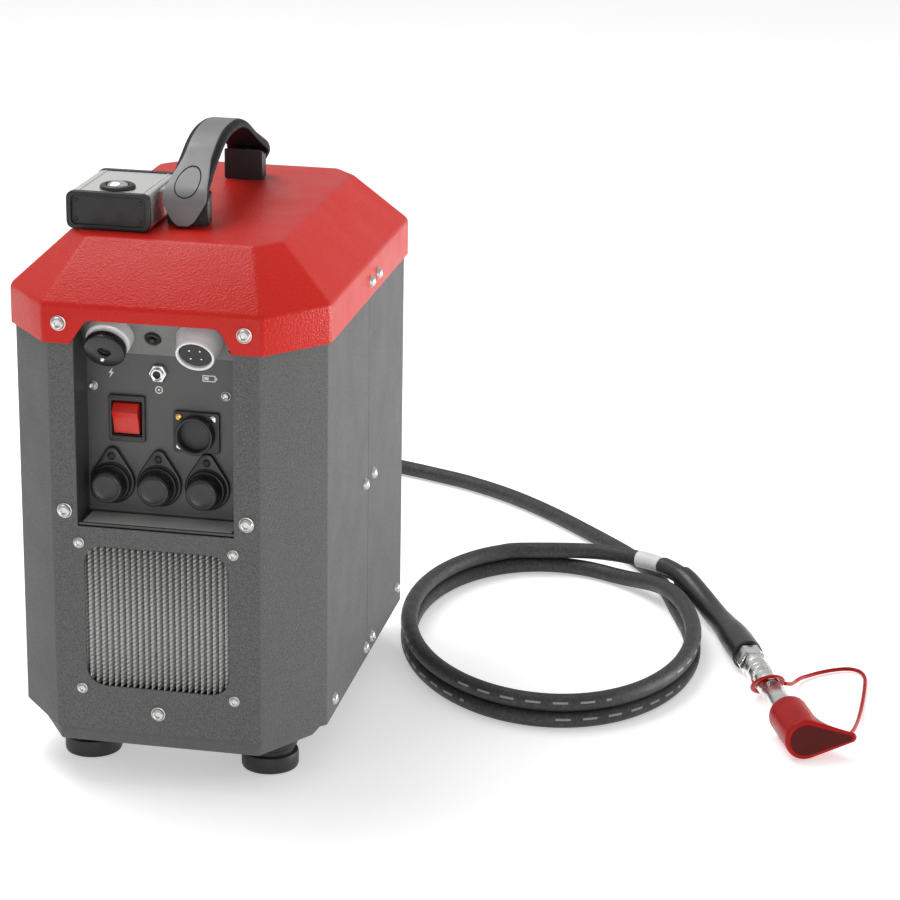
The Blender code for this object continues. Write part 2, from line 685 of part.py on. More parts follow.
def handle():
    """An arched band with a lug at each end. Its origin is on the axis that it turns about."""
    outer = soften([(0.0885, HANDLE_FOOT_Z), (0.0845, 0.3885), (0.0240, HANDLE_TOP_Z), (0.0, HANDLE_TOP_Z)],
                   (0.0090, 0.0200))
    inner = soften([(0.0815, HANDLE_FOOT_Z), (LUG_INSIDE, 0.3852), (0.0225, HANDLE_TOP_Z - 0.0062),
                    (0.0, HANDLE_TOP_Z - 0.0062)], (0.0030, 0.0180))
    side_view = mirrored(outer[:-1]) + list(reversed(mirrored(inner[:-1])))
    made = move_origin(plate("handle", [side_view], 0.05, "YZ"), (0, 0, PIVOT_Z))
    right = [(0.0050, 0.0010), (0.0100, 0.0060), (0.0135, 0.0120), (LUG_HALF_WIDTH, 0.0180), (0.0146, 0.0240),
             (0.0134, 0.0310), (0.0130, 0.0380), (0.0130, 0.0600)]
    front_view = ([(x, HANDLE_FOOT_Z + z) for x, z in right]
                  + [(-x, HANDLE_FOOT_Z + z) for x, z in reversed(right)])
    shape = plate("handle_shape", [front_view], 0.3, "XZ")
    boolean(made, shape, "INTERSECT")
    pin_hole = cylinder("handle_pin_cutter", PIN_RADIUS + GAP, 0.1646, (0, 0, PIVOT_Z), (0, 1, 0), 20)
    relief = cylinder("handle_relief_cutter", 0.0071, 2 * LUG_INSIDE, (0, 0, PIVOT_Z), (0, 1, 0), 32)
    return dress(cut(made, pin_hole, relief), "handle_plastic")


def handle_pivot(name, side):
    """The pin that joins a lug to its bracket."""
    made = cylinder(name, PIN_RADIUS, 0.0137, (0, side * 0.07515, PIVOT_Z), (0, 1, 0), 24)
    return dress(made, "handle_plastic")


def handle_bracket(name, side):
    """A block on the lid that carries one end of the handle."""
    half = LUG_HALF_WIDTH + 0.0005
    low = LID_TOP + GAP
    right = [(half, PIVOT_Z - 0.0035), (0.0085, PIVOT_Z + 0.0005)]
    outline = (right + arc((0, PIVOT_Z), 0.0065, math.radians(20), math.radians(160), 10)
               + [(-x, z) for x, z in reversed(right)]
               + arc((-half + 0.006, low + 0.006), 0.006, math.pi, 1.5 * math.pi, 3)
               + arc((half - 0.006, low + 0.006), 0.006, 1.5 * math.pi, math.tau, 3))
    outer = LUG_INSIDE - 0.0005
    made = plate(name, [outline], 0.0113, "XZ", (0, side * (outer - 0.00565), 0))
    hole = cylinder(name + "_cutter", PIN_RADIUS + GAP, 0.0100, (0, side * (outer - 0.0038), PIVOT_Z),
                    (0, 1, 0), 20)
    return dress(cut(made, hole), "black_plastic")


def control_box():
    """The extruded body of the small control box on the lid."""
    outline = rounded_rectangle(*BOX_X, *BOX_Z, 0.0035, 3)
    made = plate("control_box", [outline], BOX_Y[1] - BOX_Y[0], "XZ", (0, sum(BOX_Y) / 2, 0))
    hole = cylinder("button_cutter", 0.0084, 0.016, (*BUTTON, BOX_Z[1]), steps=28)
    return dress(cut(made, hole), "aluminium")


def box_bezel(name, side):
    """A black end piece of the control box."""
    outline = rounded_rectangle(BOX_X[0] - 0.0008, BOX_X[1] + 0.0004, LID_TOP + GAP, BOX_Z[1] + 0.0008, 0.0055)
    edge = BOX_Y[0] if side < 0 else BOX_Y[1]
    middle = edge + side * (GAP + BEZEL_DEPTH / 2)
    made = plate(name, [outline], BEZEL_DEPTH, "XZ", (0, middle, 0))
    return dress(made, "black_plastic")


def button_ring():
    low = BOX_Z[1] + GAP
    profile = [(0.0084, 0.0016), (0.0092, 0.0022), (0.0104, 0.0018), (0.0112, 0.0008), (0.0112, 0), (0.0084, 0),
               (0.0084, 0.0016)]
    return dress(turned("button_ring", profile, (*BUTTON, low), steps=28), "black_plastic")


def start_button():
    """A domed metal push-button. Its origin is on the line that it travels along."""
    rise = [(0.0081 * math.cos(a), 0.0030 + 0.0036 * math.sin(a))
            for a in (math.pi / 2 * i / 4 for i in range(4, -1, -1))]
    profile = [(0, 0.0066)] + rise[1:] + [(0.0081, -0.0030), (0, -0.0030)]
    return dress(turned("start_button", profile, (*BUTTON, BOX_Z[1]), steps=28), "chrome")


# ---- what the casing holds ----------------------------------------------------------------
def battery_shelf():
    outline = [(-0.098, 0.168), (-0.0965, 0.168), (-0.0965, 0.1785), (0.0965, 0.1785), (0.0965, 0.168),
               (0.098, 0.168), (0.098, 0.180), (-0.098, 0.180)]
    made = plate("battery_shelf", [outline], 0.186, "XZ", (0, -0.027, 0))
    return dress(made, "steel", smooth=False)


def battery_pack():
    made = block("battery_pack", (-0.075, -0.115, 0.1803), (0.075, 0.035, 0.2700))
    return dress(bevel(made, 0.003, 2), "black_plastic")


def control_board():
    """The driver board on four posts, with its heat sink and capacitors."""
    low = 0.2703
    board = block("control_board", (-0.060, -0.095, low + 0.006), (0.060, 0.015, low + 0.008))
    posts = [cylinder(f"board_post_{i}", 0.003, 0.007, (x, y, low + 0.0035), steps=12)
             for i, (x, y) in enumerate([(-0.055, -0.09), (0.055, -0.09), (-0.055, 0.01), (0.055, 0.01)])]
    sink = block("heat_sink", (-0.040, -0.030, low + 0.007), (0.020, 0.005, low + 0.026))
    cans = [cylinder(f"capacitor_{i}", 0.006, 0.018, (x, -0.070, low + 0.016), steps=16)
            for i, x in enumerate((-0.030, -0.012, 0.006, 0.024))]
    return dress(join(board, *posts, sink, *cans), "board_green")


def motor():
    """The electric motor, with a clear bore for its shaft."""
    r = MOTOR_RADIUS
    s = SHAFT_RADIUS + 0.0004
    profile = [(s, 0.110), (0.020, 0.110), (0.020, 0.106), (r, 0.106), (r, 0), (s, 0), (s, 0.110)]
    return dress(turned("motor", profile, (0, 0.012, MOTOR_Z), (0, -1, 0), 28), "steel")


def motor_cradle():
    """The saddle that holds the motor down on the pan."""
    made = block("motor_cradle", (-0.034, -0.088, PAN_BOTTOM + SHEET + GAP), (0.034, 0.000, 0.088))
    bed = cylinder("cradle_cutter", MOTOR_RADIUS + GAP, 0.2, (0, -0.044, MOTOR_Z), (0, 1, 0), 48)
    return dress(cut(made, bed), "aluminium")


def motor_shaft():
    """The shaft from the fan, through the motor, into the pump. Its origin is on its axis."""
    r = SHAFT_RADIUS
    profile = [(0, 0.1430), (r - 0.0005, 0.1430), (r, 0.1425), (r, 0), (0, 0)]
    return dress(turned("motor_shaft", profile, (0, 0.0290, MOTOR_Z), (0, -1, 0), 20), "steel")


def cooling_fan():
    """A hub with twisted blades on the front end of the shaft."""
    hub = cylinder("cooling_fan", 0.0120, 0.0120, (0, -0.1205, MOTOR_Z), (0, 1, 0), 24)
    blades = 7
    for i in range(blades):
        blade = block(f"fan_blade_{i}", (0.0100, -0.0007, -0.0065), (0.0400, 0.0007, 0.0065))
        turn = Matrix.Rotation(math.tau * i / blades, 4, "Y")
        pitch = Matrix.Rotation(math.radians(55), 4, "X")
        blade.matrix_world = (Matrix.Translation((0, -0.1205, MOTOR_Z)) @ turn @ pitch
                              @ Matrix.Translation((0.025, 0, 0)))
        join(hub, blade)
    return dress(hub, "black_plastic")


def pump_block():
    """The pump with its solenoid valve on top."""
    made = block("pump_block", (-0.042, 0.0140, 0.060), (0.042, 0.064, 0.150))
    valve = cylinder("solenoid_valve", 0.0150, 0.024, (0.020, 0.040, 0.160), steps=20)
    bore = cylinder("pump_bore_cutter", SHAFT_RADIUS + 0.0004, 0.034, (0, 0.0140, MOTOR_Z), (0, 1, 0), 20)
    return dress(cut(join(made, valve), bore), "aluminium")


def oil_tank():
    """The oil tank across the rear of the casing, with its filler neck."""
    tank = block("oil_tank", (-0.074, 0.072, 0.094), (0.074, 0.150, 0.200))
    neck = cylinder("tank_neck", 0.014, 0.020, (0.050, 0.112, 0.206), steps=24)
    return dress(bevel(join(tank, neck), 0.003), "steel")


def dress_curve(target, material):
    target.data.materials.append(finish(material, target.name))
    return target


def bulkhead_fitting():
    """The pressure line from the pump, through the rear wall, to the hose's screw fitting."""
    x, _, z = HOSE_EXIT
    end = HOSE_EXIT[1] - GAP
    profile = [(0, 0), (0.0078, 0), (0.0084, -0.001), (0.0084, -0.018), (0.0100, -0.019), (0.0120, -0.0195),
               (0.0120, -0.0293), (0.0080, -0.0296), (0.0080, -0.0605), (0.0040, -0.0610), (0.0040, -0.1262),
               (0, -0.1262)]
    return dress(turned("bulkhead_fitting", profile, (x, end, z), (0, 1, 0), 20), "steel")


def bulkhead_nut():
    """The nut on the bulkhead fitting, inside the rear wall."""
    x, _, z = HOSE_EXIT
    made = cylinder("bulkhead_nut", 0.0125, 0.007, (x, BODY_HALF_Y - SHEET - GAP - 0.0035, z), (0, 1, 0), 6)
    hole = cylinder("nut_cutter", 0.0080 + GAP, 0.02, (x, BODY_HALF_Y - 0.005, z), (0, 1, 0), 24)
    return dress(cut(made, hole), "steel", smooth=False)


# ---- hose ---------------------------------------------------------------------------------
def hose_run():
    return dress_curve(tube("hose_run", smooth_route(RUN_ROUTE, 2), HOSE_RADIUS), "hose")


def hose_coil():
    """Two turns on each other, as one ring of their outer shape."""
    outlines = [coil_outline(HOSE_RADIUS + 0.0001), coil_outline(-HOSE_RADIUS - 0.0001)]
    height = 4 * HOSE_RADIUS + 0.0002
    return dress(plate("hose_coil", outlines, height, "XY", (0, 0, height / 2)), "hose")


def hose_end():
    return dress_curve(tube("hose_end", smooth_route(END_ROUTE, 3), HOSE_RADIUS), "hose")


def shrink_sleeve():
    """The thin sleeve shrunk over the hose ahead of the bend protection."""
    route = smooth_route(END_ROUTE, 3)[6:11]
    return dress(sleeve("shrink_sleeve", route, HOSE_RADIUS + GAP, 0.0073), "rubber")


def bend_sleeve():
    """The thick sleeve that protects the hose where it bends at the coupler."""
    route = smooth_route(END_ROUTE, 3)[11:]
    last = route[-1] + (route[-2] - route[-1]).normalized() * 0.001
    return dress(sleeve("bend_sleeve", route[:-1] + [last], HOSE_RADIUS + GAP, 0.0098), "rubber")


def coupler_axis():
    level = math.cos(COUPLER_RISE)
    heading = Vector((math.cos(COUPLER_HEADING), math.sin(COUPLER_HEADING), 0))
    return heading * level + Vector((0, 0, math.sin(COUPLER_RISE)))


def hex_fitting():
    """The hexagon that the hose is crimped to, and the collar next to it."""
    axis = coupler_axis()
    made = cylinder("hex_fitting", 0.0112, 0.022, COUPLER_START + axis * 0.0133, axis, 6)
    profile = [(0, 0.0500), (0.0072, 0.0500), (0.0072, 0.0420), (0.0092, 0.0410), (0.0092, 0.0230),
               (0.0080, 0.0200), (0, 0.0200)]
    collar = turned("fitting_collar", profile, COUPLER_START, axis, 24)
    return dress(join(made, baked(collar)), "steel")


def coupler_nipple():
    """The coupler half that the dust cap covers."""
    profile = [(0, 0.0930), (0.0060, 0.0930), (0.0070, 0.0920), (0.0070, 0.0790), (0.0082, 0.0780),
               (0.0082, 0), (0, 0)]
    made = turned("coupler_nipple", profile, COUPLER_START + coupler_axis() * 0.0503, coupler_axis(), 24)
    return dress(made, "chrome")


def dust_cap():
    """The cap over the nipple, with a lug at its closed end. It pulls off along its axis."""
    axis = coupler_axis()
    base = COUPLER_START + axis * 0.1020
    profile = [(0.0086, 0), (0.0086, 0.0430), (0, 0.0430)]
    profile = [(0, 0.0560), (0.0138, 0.0560), (0.0146, 0.0550), (0.0146, 0.0060), (0.0138, 0.0020), (0.0124, 0),
               *profile]
    barrel = turned("dust_cap", profile, base, axis, 28)
    side = Vector((0, 0, 1)).cross(axis).normalized()
    up = axis.cross(side)
    outline = drop((0, 0), 0.0144, (0, 0.0345), 0.0042)
    lug = plate("cap_lug", [outline], 0.0060, "XY")
    frame = Matrix((up, side, axis)).transposed().to_4x4()
    lug.matrix_world = Matrix.Translation(base + axis * 0.0515) @ frame
    return dress(join(baked(barrel), lug), "red_plastic")


def cap_strap():
    """A loose ring round the coupler and the strap that ties the dust cap to it."""
    axis = coupler_axis()
    section, major, minor = 6, 0.0110, 0.0021
    profile = [(major + minor * math.cos(a), minor * math.sin(a))
               for a in (-math.tau * i / section for i in range(section))]
    profile.append(profile[0])
    made = baked(turned("cap_strap", profile, COUPLER_START + axis * 0.0570, axis, 20))
    cord = flat_mesh(tube("strap_cord", smooth_route(STRAP_ROUTE, 2), 0.0014, resolution=1))
    return dress(join(made, cord), "red_plastic")


def build():
    base_pan()
    front_shell()
    rear_shell()
    lid()
    for place, side in (("front", -1), ("rear", 1)):
        lid_screw(f"lid_screw_{place}_left", -LID_SCREW[0], side)
        lid_screw(f"lid_screw_{place}_right", LID_SCREW[0], side)
    for depth, y in (("front", -FOOT_Y), ("rear", FOOT_Y)):
        foot(f"foot_{depth}_left", -FOOT_X, y)
        foot(f"foot_{depth}_right", FOOT_X, y)
    filter_element()
    filter_frame()

    control_panel()
    power_connector()
    power_cap()
    charge_connector()
    charge_insert()
    temperature_lamp()
    signal_jack()
    switch_bezel()
    switch_rocker()
    aux_socket()
    for number, x in enumerate(OUTLET_X, start=1):
        outlet_socket(f"outlet_socket_{number}", x)
        outlet_cap(f"outlet_cap_{number}", x)

    handle()
    for place, side in (("front", -1), ("rear", 1)):
        handle_pivot(f"handle_pivot_{place}", side)
        handle_bracket(f"handle_bracket_{place}", side)
        box_bezel(f"box_bezel_{place}", side)
    control_box()
    button_ring()
    start_button()

    battery_shelf()
    battery_pack()
    control_board()
    motor()
    motor_cradle()
    motor_shaft()
    cooling_fan()
    pump_block()
    oil_tank()
    bulkhead_fitting()
    bulkhead_nut()

    hose_run()
    hose_coil()
    hose_end()
    shrink_sleeve()
    bend_sleeve()
    hex_fitting()
    coupler_nipple()
    dust_cap()
    cap_strap()


clear_scene()
PARTS = make_collection("hydraulic_power_unit")
CUTTERS = make_collection("cutters")
build()
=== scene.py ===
"""The finished look of the portable hydraulic power unit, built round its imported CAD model."""
import json
import math

import bmesh
import bpy
from mathutils import Matrix, Vector


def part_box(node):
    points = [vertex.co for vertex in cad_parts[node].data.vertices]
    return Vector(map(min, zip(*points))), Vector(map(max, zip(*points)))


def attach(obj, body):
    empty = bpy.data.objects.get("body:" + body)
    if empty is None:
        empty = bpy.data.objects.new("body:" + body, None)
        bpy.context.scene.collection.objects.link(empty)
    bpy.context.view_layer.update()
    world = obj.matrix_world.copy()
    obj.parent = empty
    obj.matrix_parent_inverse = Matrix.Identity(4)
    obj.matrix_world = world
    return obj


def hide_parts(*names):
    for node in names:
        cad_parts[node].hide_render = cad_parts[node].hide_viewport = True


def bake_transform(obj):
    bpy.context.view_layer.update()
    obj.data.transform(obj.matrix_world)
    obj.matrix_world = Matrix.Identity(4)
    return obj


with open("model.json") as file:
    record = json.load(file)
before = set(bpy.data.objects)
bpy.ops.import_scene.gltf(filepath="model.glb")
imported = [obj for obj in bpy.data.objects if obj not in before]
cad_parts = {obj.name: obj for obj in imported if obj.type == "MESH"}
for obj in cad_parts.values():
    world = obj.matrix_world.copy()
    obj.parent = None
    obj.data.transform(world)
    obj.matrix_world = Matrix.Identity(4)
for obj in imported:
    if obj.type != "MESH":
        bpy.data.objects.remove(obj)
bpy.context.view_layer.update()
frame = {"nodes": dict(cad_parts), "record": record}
NODES = frame["nodes"]

# ---- sizes shared with the CAD model ------------------------------------------------------
SHEET = 0.0015
CORNER_X = 0.0355                   # casing corner chamfer
CORNER_Y = 0.0414
SEAM_Y = 0.0038
RECESS_HALF_X = 0.0525
LEDGE_Z = 0.183
PANEL_Y = -0.134
PANEL_BEND_Z = 0.292
PANEL_LEAN = math.radians(30)
WINDOW_HALF_X = 0.0487
WINDOW_Z = (0.070, 0.168)
WINDOW_RADIUS = 0.015
PIVOT_Z = 0.3815
LUG_INSIDE = 0.0773
COVER_Z = 0.3930                    # the middle of the round cover on each lug
HOSE_RADIUS = 0.00625
HOSE_EXIT = (-0.030, 0.1913, 0.072)
COIL_CENTRE = Vector((0.215, 0.150))
COIL_HALF_WIDTH = 0.107
COIL_HALF_LENGTH = 0.156
COIL_TURN = math.radians(11.5)
COUPLER_START = Vector((0.3665, 0.128, 0.0130))
COUPLER_HEADING = math.radians(-70.5)
COUPLER_RISE = math.radians(0.84)

RUN_ROUTE = [
    HOSE_EXIT,
    (-0.0300, 0.215, 0.0720), (-0.0310, 0.245, 0.0665), (-0.0345, 0.280, 0.0530), (-0.0400, 0.318, 0.0350),
    (-0.0460, 0.356, 0.0185), (-0.0510, 0.394, 0.0090), (-0.0545, 0.432, HOSE_RADIUS),
    (-0.0550, 0.462, HOSE_RADIUS), (-0.0517, 0.4845, HOSE_RADIUS), (-0.0421, 0.5035, HOSE_RADIUS),
    (-0.0275, 0.5172, HOSE_RADIUS), (-0.0096, 0.5240, HOSE_RADIUS), (0.0100, 0.5235, HOSE_RADIUS),
    (0.0310, 0.5165, HOSE_RADIUS), (0.0600, 0.5045, HOSE_RADIUS), (0.0905, 0.4902, HOSE_RADIUS),
    (0.1307, 0.4640, HOSE_RADIUS), (0.1714, 0.4281, HOSE_RADIUS), (0.2120, 0.3849, HOSE_RADIUS),
    (0.2490, 0.3425, HOSE_RADIUS), (0.2705, 0.3105, HOSE_RADIUS), (0.2845, 0.2810, HOSE_RADIUS),
    (0.2940, 0.2560, HOSE_RADIUS), (0.3010, 0.2330, HOSE_RADIUS),
]
END_ROUTE = [
    (0.2120, 0.3060, 0.0192), (0.2400, 0.3050, 0.0196), (0.2650, 0.2960, 0.0202), (0.2860, 0.2810, 0.0210),
    (0.3040, 0.2600, 0.0205), (0.3190, 0.2390, 0.0150), (0.3320, 0.2160, 0.0110), (0.3440, 0.1900, 0.0106),
    (0.3555, 0.1600, 0.0118), tuple(COUPLER_START),
]
STRAP_ROUTE = [
    (0.3975, 0.0785, 0.0142), (0.4010, 0.0900, 0.0095), (0.4030, 0.1050, 0.0050), (0.4065, 0.1180, 0.0030),
    (0.4130, 0.1275, 0.0022), (0.4205, 0.1355, 0.0020), (0.4310, 0.1430, 0.0020), (0.4410, 0.1465, 0.0020),
    (0.4485, 0.1430, 0.0020), (0.4525, 0.1330, 0.0020), (0.4535, 0.1180, 0.0020), (0.4535, 0.0950, 0.0020),
    (0.4530, 0.0700, 0.0030), (0.4520, 0.0410, 0.0062), (0.4505, 0.0130, 0.0118), (0.4485, -0.0040, 0.0152),
]

PLANES = {
    "XY": Matrix.Identity(4),
    "XZ": Matrix(((1, 0, 0, 0), (0, 0, -1, 0), (0, 1, 0, 0), (0, 0, 0, 1))),
    "YZ": Matrix(((0, 0, 1, 0), (1, 0, 0, 0), (0, 1, 0, 0), (0, 0, 0, 1))),
}


def mm(*pairs):
    """Points given in millimetres."""
    return [(a / 1000, b / 1000) for a, b in pairs]


def centre(node):
    low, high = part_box(node)
    return (low + high) / 2


# ---- materials ----------------------------------------------------------------------------
class Shader:
    """One Principled material, with short calls for the nodes that feed it."""

    def __init__(self, name, colour, roughness, metallic=0.0, specular=0.5):
        self.material = bpy.data.materials.new(name)
        self.material.use_nodes = True
        self.tree = self.material.node_tree
        self.shader = self.tree.nodes["Principled BSDF"]
        self.shader.inputs["Base Color"].default_value = (*colour, 1.0)
        self.shader.inputs["Roughness"].default_value = roughness
        self.shader.inputs["Metallic"].default_value = metallic
        self.shader.inputs["Specular IOR Level"].default_value = specular
        self.colour = colour
        self.height = None
        self.place = self.node("ShaderNodeTexCoord").outputs["Object"]

    def node(self, kind, **settings):
        made = self.tree.nodes.new(kind)
        for key, value in settings.items():
            setattr(made, key, value)
        return made

    def feed(self, socket, value):
        if isinstance(value, bpy.types.NodeSocket):
            self.tree.links.new(value, socket)
        else:
            socket.default_value = value

    def mapped(self, stretch=(1, 1, 1), turn=(0, 0, 0), source=None):
        made = self.node("ShaderNodeMapping")
        self.feed(made.inputs["Vector"], source or self.place)
        made.inputs["Scale"].default_value = stretch
        made.inputs["Rotation"].default_value = turn
        return made.outputs["Vector"]

    def noise(self, scale, detail=2.0, source=None):
        made = self.node("ShaderNodeTexNoise")
        self.feed(made.inputs["Vector"], source or self.place)
        made.inputs["Scale"].default_value = scale
        made.inputs["Detail"].default_value = detail
        return made.outputs["Fac"]

    def math(self, operation, *values):
        made = self.node("ShaderNodeMath", operation=operation)
        for socket, value in zip(made.inputs, values):
            self.feed(socket, value)
        return made.outputs["Value"]

    def spread(self, value, low, high, start=0.3, end=0.7):
        """Remap a 0 to 1 pattern to a range."""
        made = self.node("ShaderNodeMapRange")
        self.feed(made.inputs["Value"], value)
        for key, number in (("From Min", start), ("From Max", end), ("To Min", low), ("To Max", high)):
            made.inputs[key].default_value = number
        return made.outputs["Result"]

    def blend(self, factor, first, second):
        made = self.node("ShaderNodeMix", data_type="RGBA")
        self.feed(made.inputs["Factor"], factor)
        for socket, colour in ((made.inputs[6], first), (made.inputs[7], second)):
            if isinstance(colour, bpy.types.NodeSocket):
                self.feed(socket, colour)
            else:
                socket.default_value = (*colour, 1.0)
        return made.outputs[2]

    def shades(self, darker, lighter):
        """Two shades of the material's own colour."""
        return [tuple(channel * factor for channel in self.colour) for factor in (darker, lighter)]

    def paint(self, colour):
        self.feed(self.shader.inputs["Base Color"], colour)

    def gloss(self, roughness):
        self.feed(self.shader.inputs["Roughness"], roughness)

    def bump(self, height, distance, strength=1.0):
        made = self.node("ShaderNodeBump")
        self.feed(made.inputs["Height"], height)
        made.inputs["Distance"].default_value = distance
        made.inputs["Strength"].default_value = strength
        if self.height:
            self.feed(made.inputs["Normal"], self.height)
        self.height = made.outputs["Normal"]
        self.feed(self.shader.inputs["Normal"], self.height)


def powder_coat(name, colour, grain, depth, roughness, metallic=0.0, flake=0.25, specular=0.5):
    """Textured paint: small rounded lumps with finer ones between them, and a little flake."""
    made = Shader(name, colour, roughness, metallic, specular=specular)
    lumps = made.noise(grain, 2.0)
    flakes = made.noise(grain * 2.3, 1.0)
    dark, light = made.shades(1 - flake, 1 + flake)
    made.paint(made.blend(made.spread(flakes, 0, 1, 0.35, 0.68), dark, light))
    made.gloss(made.spread(made.noise(35), roughness - 0.04, roughness + 0.06))
    made.bump(lumps, depth)
    return made.material


def moulded(name, colour, roughness, grain=900, depth=0.00006, wear=0.12, specular=0.5):
    """Moulded plastic or rubber with a fine grain and faint uneven shade."""
    made = Shader(name, colour, roughness, specular=specular)
    dark, light = made.shades(1 - wear, 1 + wear)
    made.paint(made.blend(made.spread(made.noise(60, 4), 0, 1), dark, light))
    made.gloss(made.spread(made.noise(120, 3), roughness - 0.06, roughness + 0.08))
    made.bump(made.noise(grain), depth)
    return made.material


def metal(name, colour, roughness, stretch=(1, 1, 1), grain=400, depth=0.00001, spread=0.08):
    """Bare or plated metal, with its grain drawn out along one direction."""
    made = Shader(name, colour, roughness, 1.0)
    streaks = made.noise(grain, 3, made.mapped(stretch))
    dark, light = made.shades(0.86, 1.05)
    made.paint(made.blend(made.spread(streaks, 0, 1), dark, light))
    made.gloss(made.spread(streaks, roughness - spread / 2, roughness + spread))
    made.bump(streaks, depth)
    return made.material


def hose_cover():
    """Black rubber with the print of its wrapping, chalky on the high spots, and a plain dashed line."""
    made = Shader("hose_rubber", (0.028, 0.028, 0.029), 0.55)
    flat = made.node("ShaderNodeUVMap", uv_map="hose").outputs["UV"]
    height = None
    for turn in (math.radians(52), math.radians(-52)):
        wave = made.node("ShaderNodeTexWave", wave_profile="SIN")
        made.feed(wave.inputs["Vector"], made.mapped(turn=(0, 0, turn), source=flat))
        wave.inputs["Scale"].default_value = 330
        height = wave.outputs["Fac"] if height is None else made.math("MULTIPLY", height, wave.outputs["Fac"])
    worn = made.spread(made.noise(420, 4), 0, 1, 0.45, 0.75)
    colour = made.blend(worn, (0.020, 0.020, 0.021), (0.050, 0.050, 0.052))
    axes = made.node("ShaderNodeSeparateXYZ")
    made.feed(axes.inputs["Vector"], flat)
    along, around = axes.outputs["X"], axes.outputs["Y"]
    offset = made.math("ABSOLUTE", made.math("SUBTRACT", around, 0.0178))
    line = made.math("LESS_THAN", offset, 0.00075)
    dashes = made.math("GREATER_THAN", made.math("FRACT", made.math("MULTIPLY", along, 55.0)), 0.45)
    groups = made.math("GREATER_THAN", made.math("FRACT", made.math("MULTIPLY", along, 5.5)), 0.38)
    ink = made.math("MULTIPLY", made.math("MULTIPLY", line, dashes), made.math("MULTIPLY", groups, 0.38))
    made.paint(made.blend(ink, colour, (0.62, 0.62, 0.60)))
    made.gloss(made.spread(made.noise(90, 3), 0.42, 0.60))
    made.bump(height, 0.00022, 0.6)
    made.bump(made.noise(700, 3), 0.00006)
    return made.material


def filter_mesh():
    """Grey filter paper with a fine cross rib over its pleats."""
    made = Shader("pleated_paper", (0.27, 0.27, 0.26), 0.85)
    ribs = made.node("ShaderNodeTexWave", bands_direction="Z", wave_profile="SIN")
    made.feed(ribs.inputs["Vector"], made.place)
    ribs.inputs["Scale"].default_value = 105
    ribs.inputs["Distortion"].default_value = 1.2
    made.paint(made.blend(ribs.outputs["Fac"], (0.34, 0.34, 0.33), (0.66, 0.66, 0.64)))
    made.bump(ribs.outputs["Fac"], 0.0005)
    made.bump(made.noise(900, 3), 0.0002)
    return made.material


LOOKS = {
    "casing_paint": powder_coat("casing_grey", (0.108, 0.108, 0.107), 900, 0.00028, 0.60, 0.0, 0.35, 0.20),
    "lid_paint": powder_coat("lid_red", (0.54, 0.014, 0.008), 760, 0.00042, 0.33, 0.0, 0.10, 0.22),
    "panel_paint": powder_coat("panel_grey", (0.085, 0.085, 0.084), 1100, 0.00014, 0.42, 0.45, 0.22),
    "handle_plastic": moulded("handle_grey", (0.165, 0.165, 0.168), 0.46, 1100),
    "black_plastic": moulded("moulded_black", (0.020, 0.020, 0.021), 0.42),
    "rubber": moulded("rubber_black", (0.013, 0.013, 0.014), 0.50, 700, 0.00008, 0.2),
    "shrink": moulded("shrink_black", (0.022, 0.022, 0.023), 0.32, 300, 0.00015, 0.2),
    "steel": metal("zinc_steel", (0.66, 0.65, 0.63), 0.30),
    "chrome": metal("plated_chrome", (0.82, 0.82, 0.81), 0.13, grain=200, depth=0.000004, spread=0.04),
    # painted sheen: a bright white non-metal for the chrome connector shells, standing in for their bright
    # reflection
    "painted_sheen_white": moulded("painted_sheen_shell", (0.78, 0.78, 0.78), 0.18, 300, 0.00001, 0.05, 1.0),
    # painted light: a lighter grey for the panel's leaning face, in place of the light that falls on it from
    # below
    "painted_light_leaning": powder_coat("painted_light_leaning", (0.19, 0.19, 0.187), 1100, 0.00010, 0.38, 0.10, 0.18),
    "gloss_black": moulded("gloss_black", (0.016, 0.016, 0.017), 0.26, 500, 0.00002, 0.1),
    "satin": metal("satin_nickel", (0.90, 0.90, 0.89), 0.24, grain=200, depth=0.000004),
    # painted shade: a darker red for the cap's closed end, which faces away from the light
    "painted_shade_cap": moulded("painted_shade_cap", (0.080, 0.005, 0.004), 0.50, 500, 0.00001, 0.10, 0.15),
    "matt_black": moulded("matt_black", (0.010, 0.010, 0.011), 0.60, 700, 0.00004, 0.1, 0.15),
    # painted light: a pale grey for the ledge, which is the same dark sheet as the panel, lit by paint in
    # place of the light it lacks
    "painted_light_ledge": powder_coat("painted_light_ledge", (0.52, 0.52, 0.51), 1100, 0.00010, 0.40, 0.0, 0.12),
    "brass": metal("brass_contact", (0.78, 0.50, 0.14), 0.28),
    "aluminium": metal("anodised_aluminium", (0.74, 0.74, 0.73), 0.38, (1, 0.04, 1), 900, 0.00002),
    "switch_red": moulded("switch_red", (0.62, 0.020, 0.012), 0.25, 400, 0.00002, 0.05),
    "cap_red": moulded("cap_red", (0.36, 0.010, 0.010), 0.30, 500, 0.00001, 0.10, 0.12),
    "filter_paper": filter_mesh(),
    "hose_cover": hose_cover(),
    "label": moulded("label_white", (0.72, 0.72, 0.70), 0.45, 300, 0.00003, 0.06),
    "mark": moulded("panel_print", (0.68, 0.68, 0.67), 0.55, 600, 0.00001, 0.05),
    "lamp": moulded("lamp_lens", (0.020, 0.008, 0.008), 0.12, 200, 0.00001, 0.05),
    "circuit_board": moulded("board_green", (0.02, 0.12, 0.05), 0.40),
}


# ---- shapes -------------------------------------------------------------------------------
def keep(name, mesh, matrix=None):
    made = bpy.data.objects.new(name, mesh)
    bpy.context.scene.collection.objects.link(made)
    if matrix is not None:
        made.matrix_world = matrix
    return made


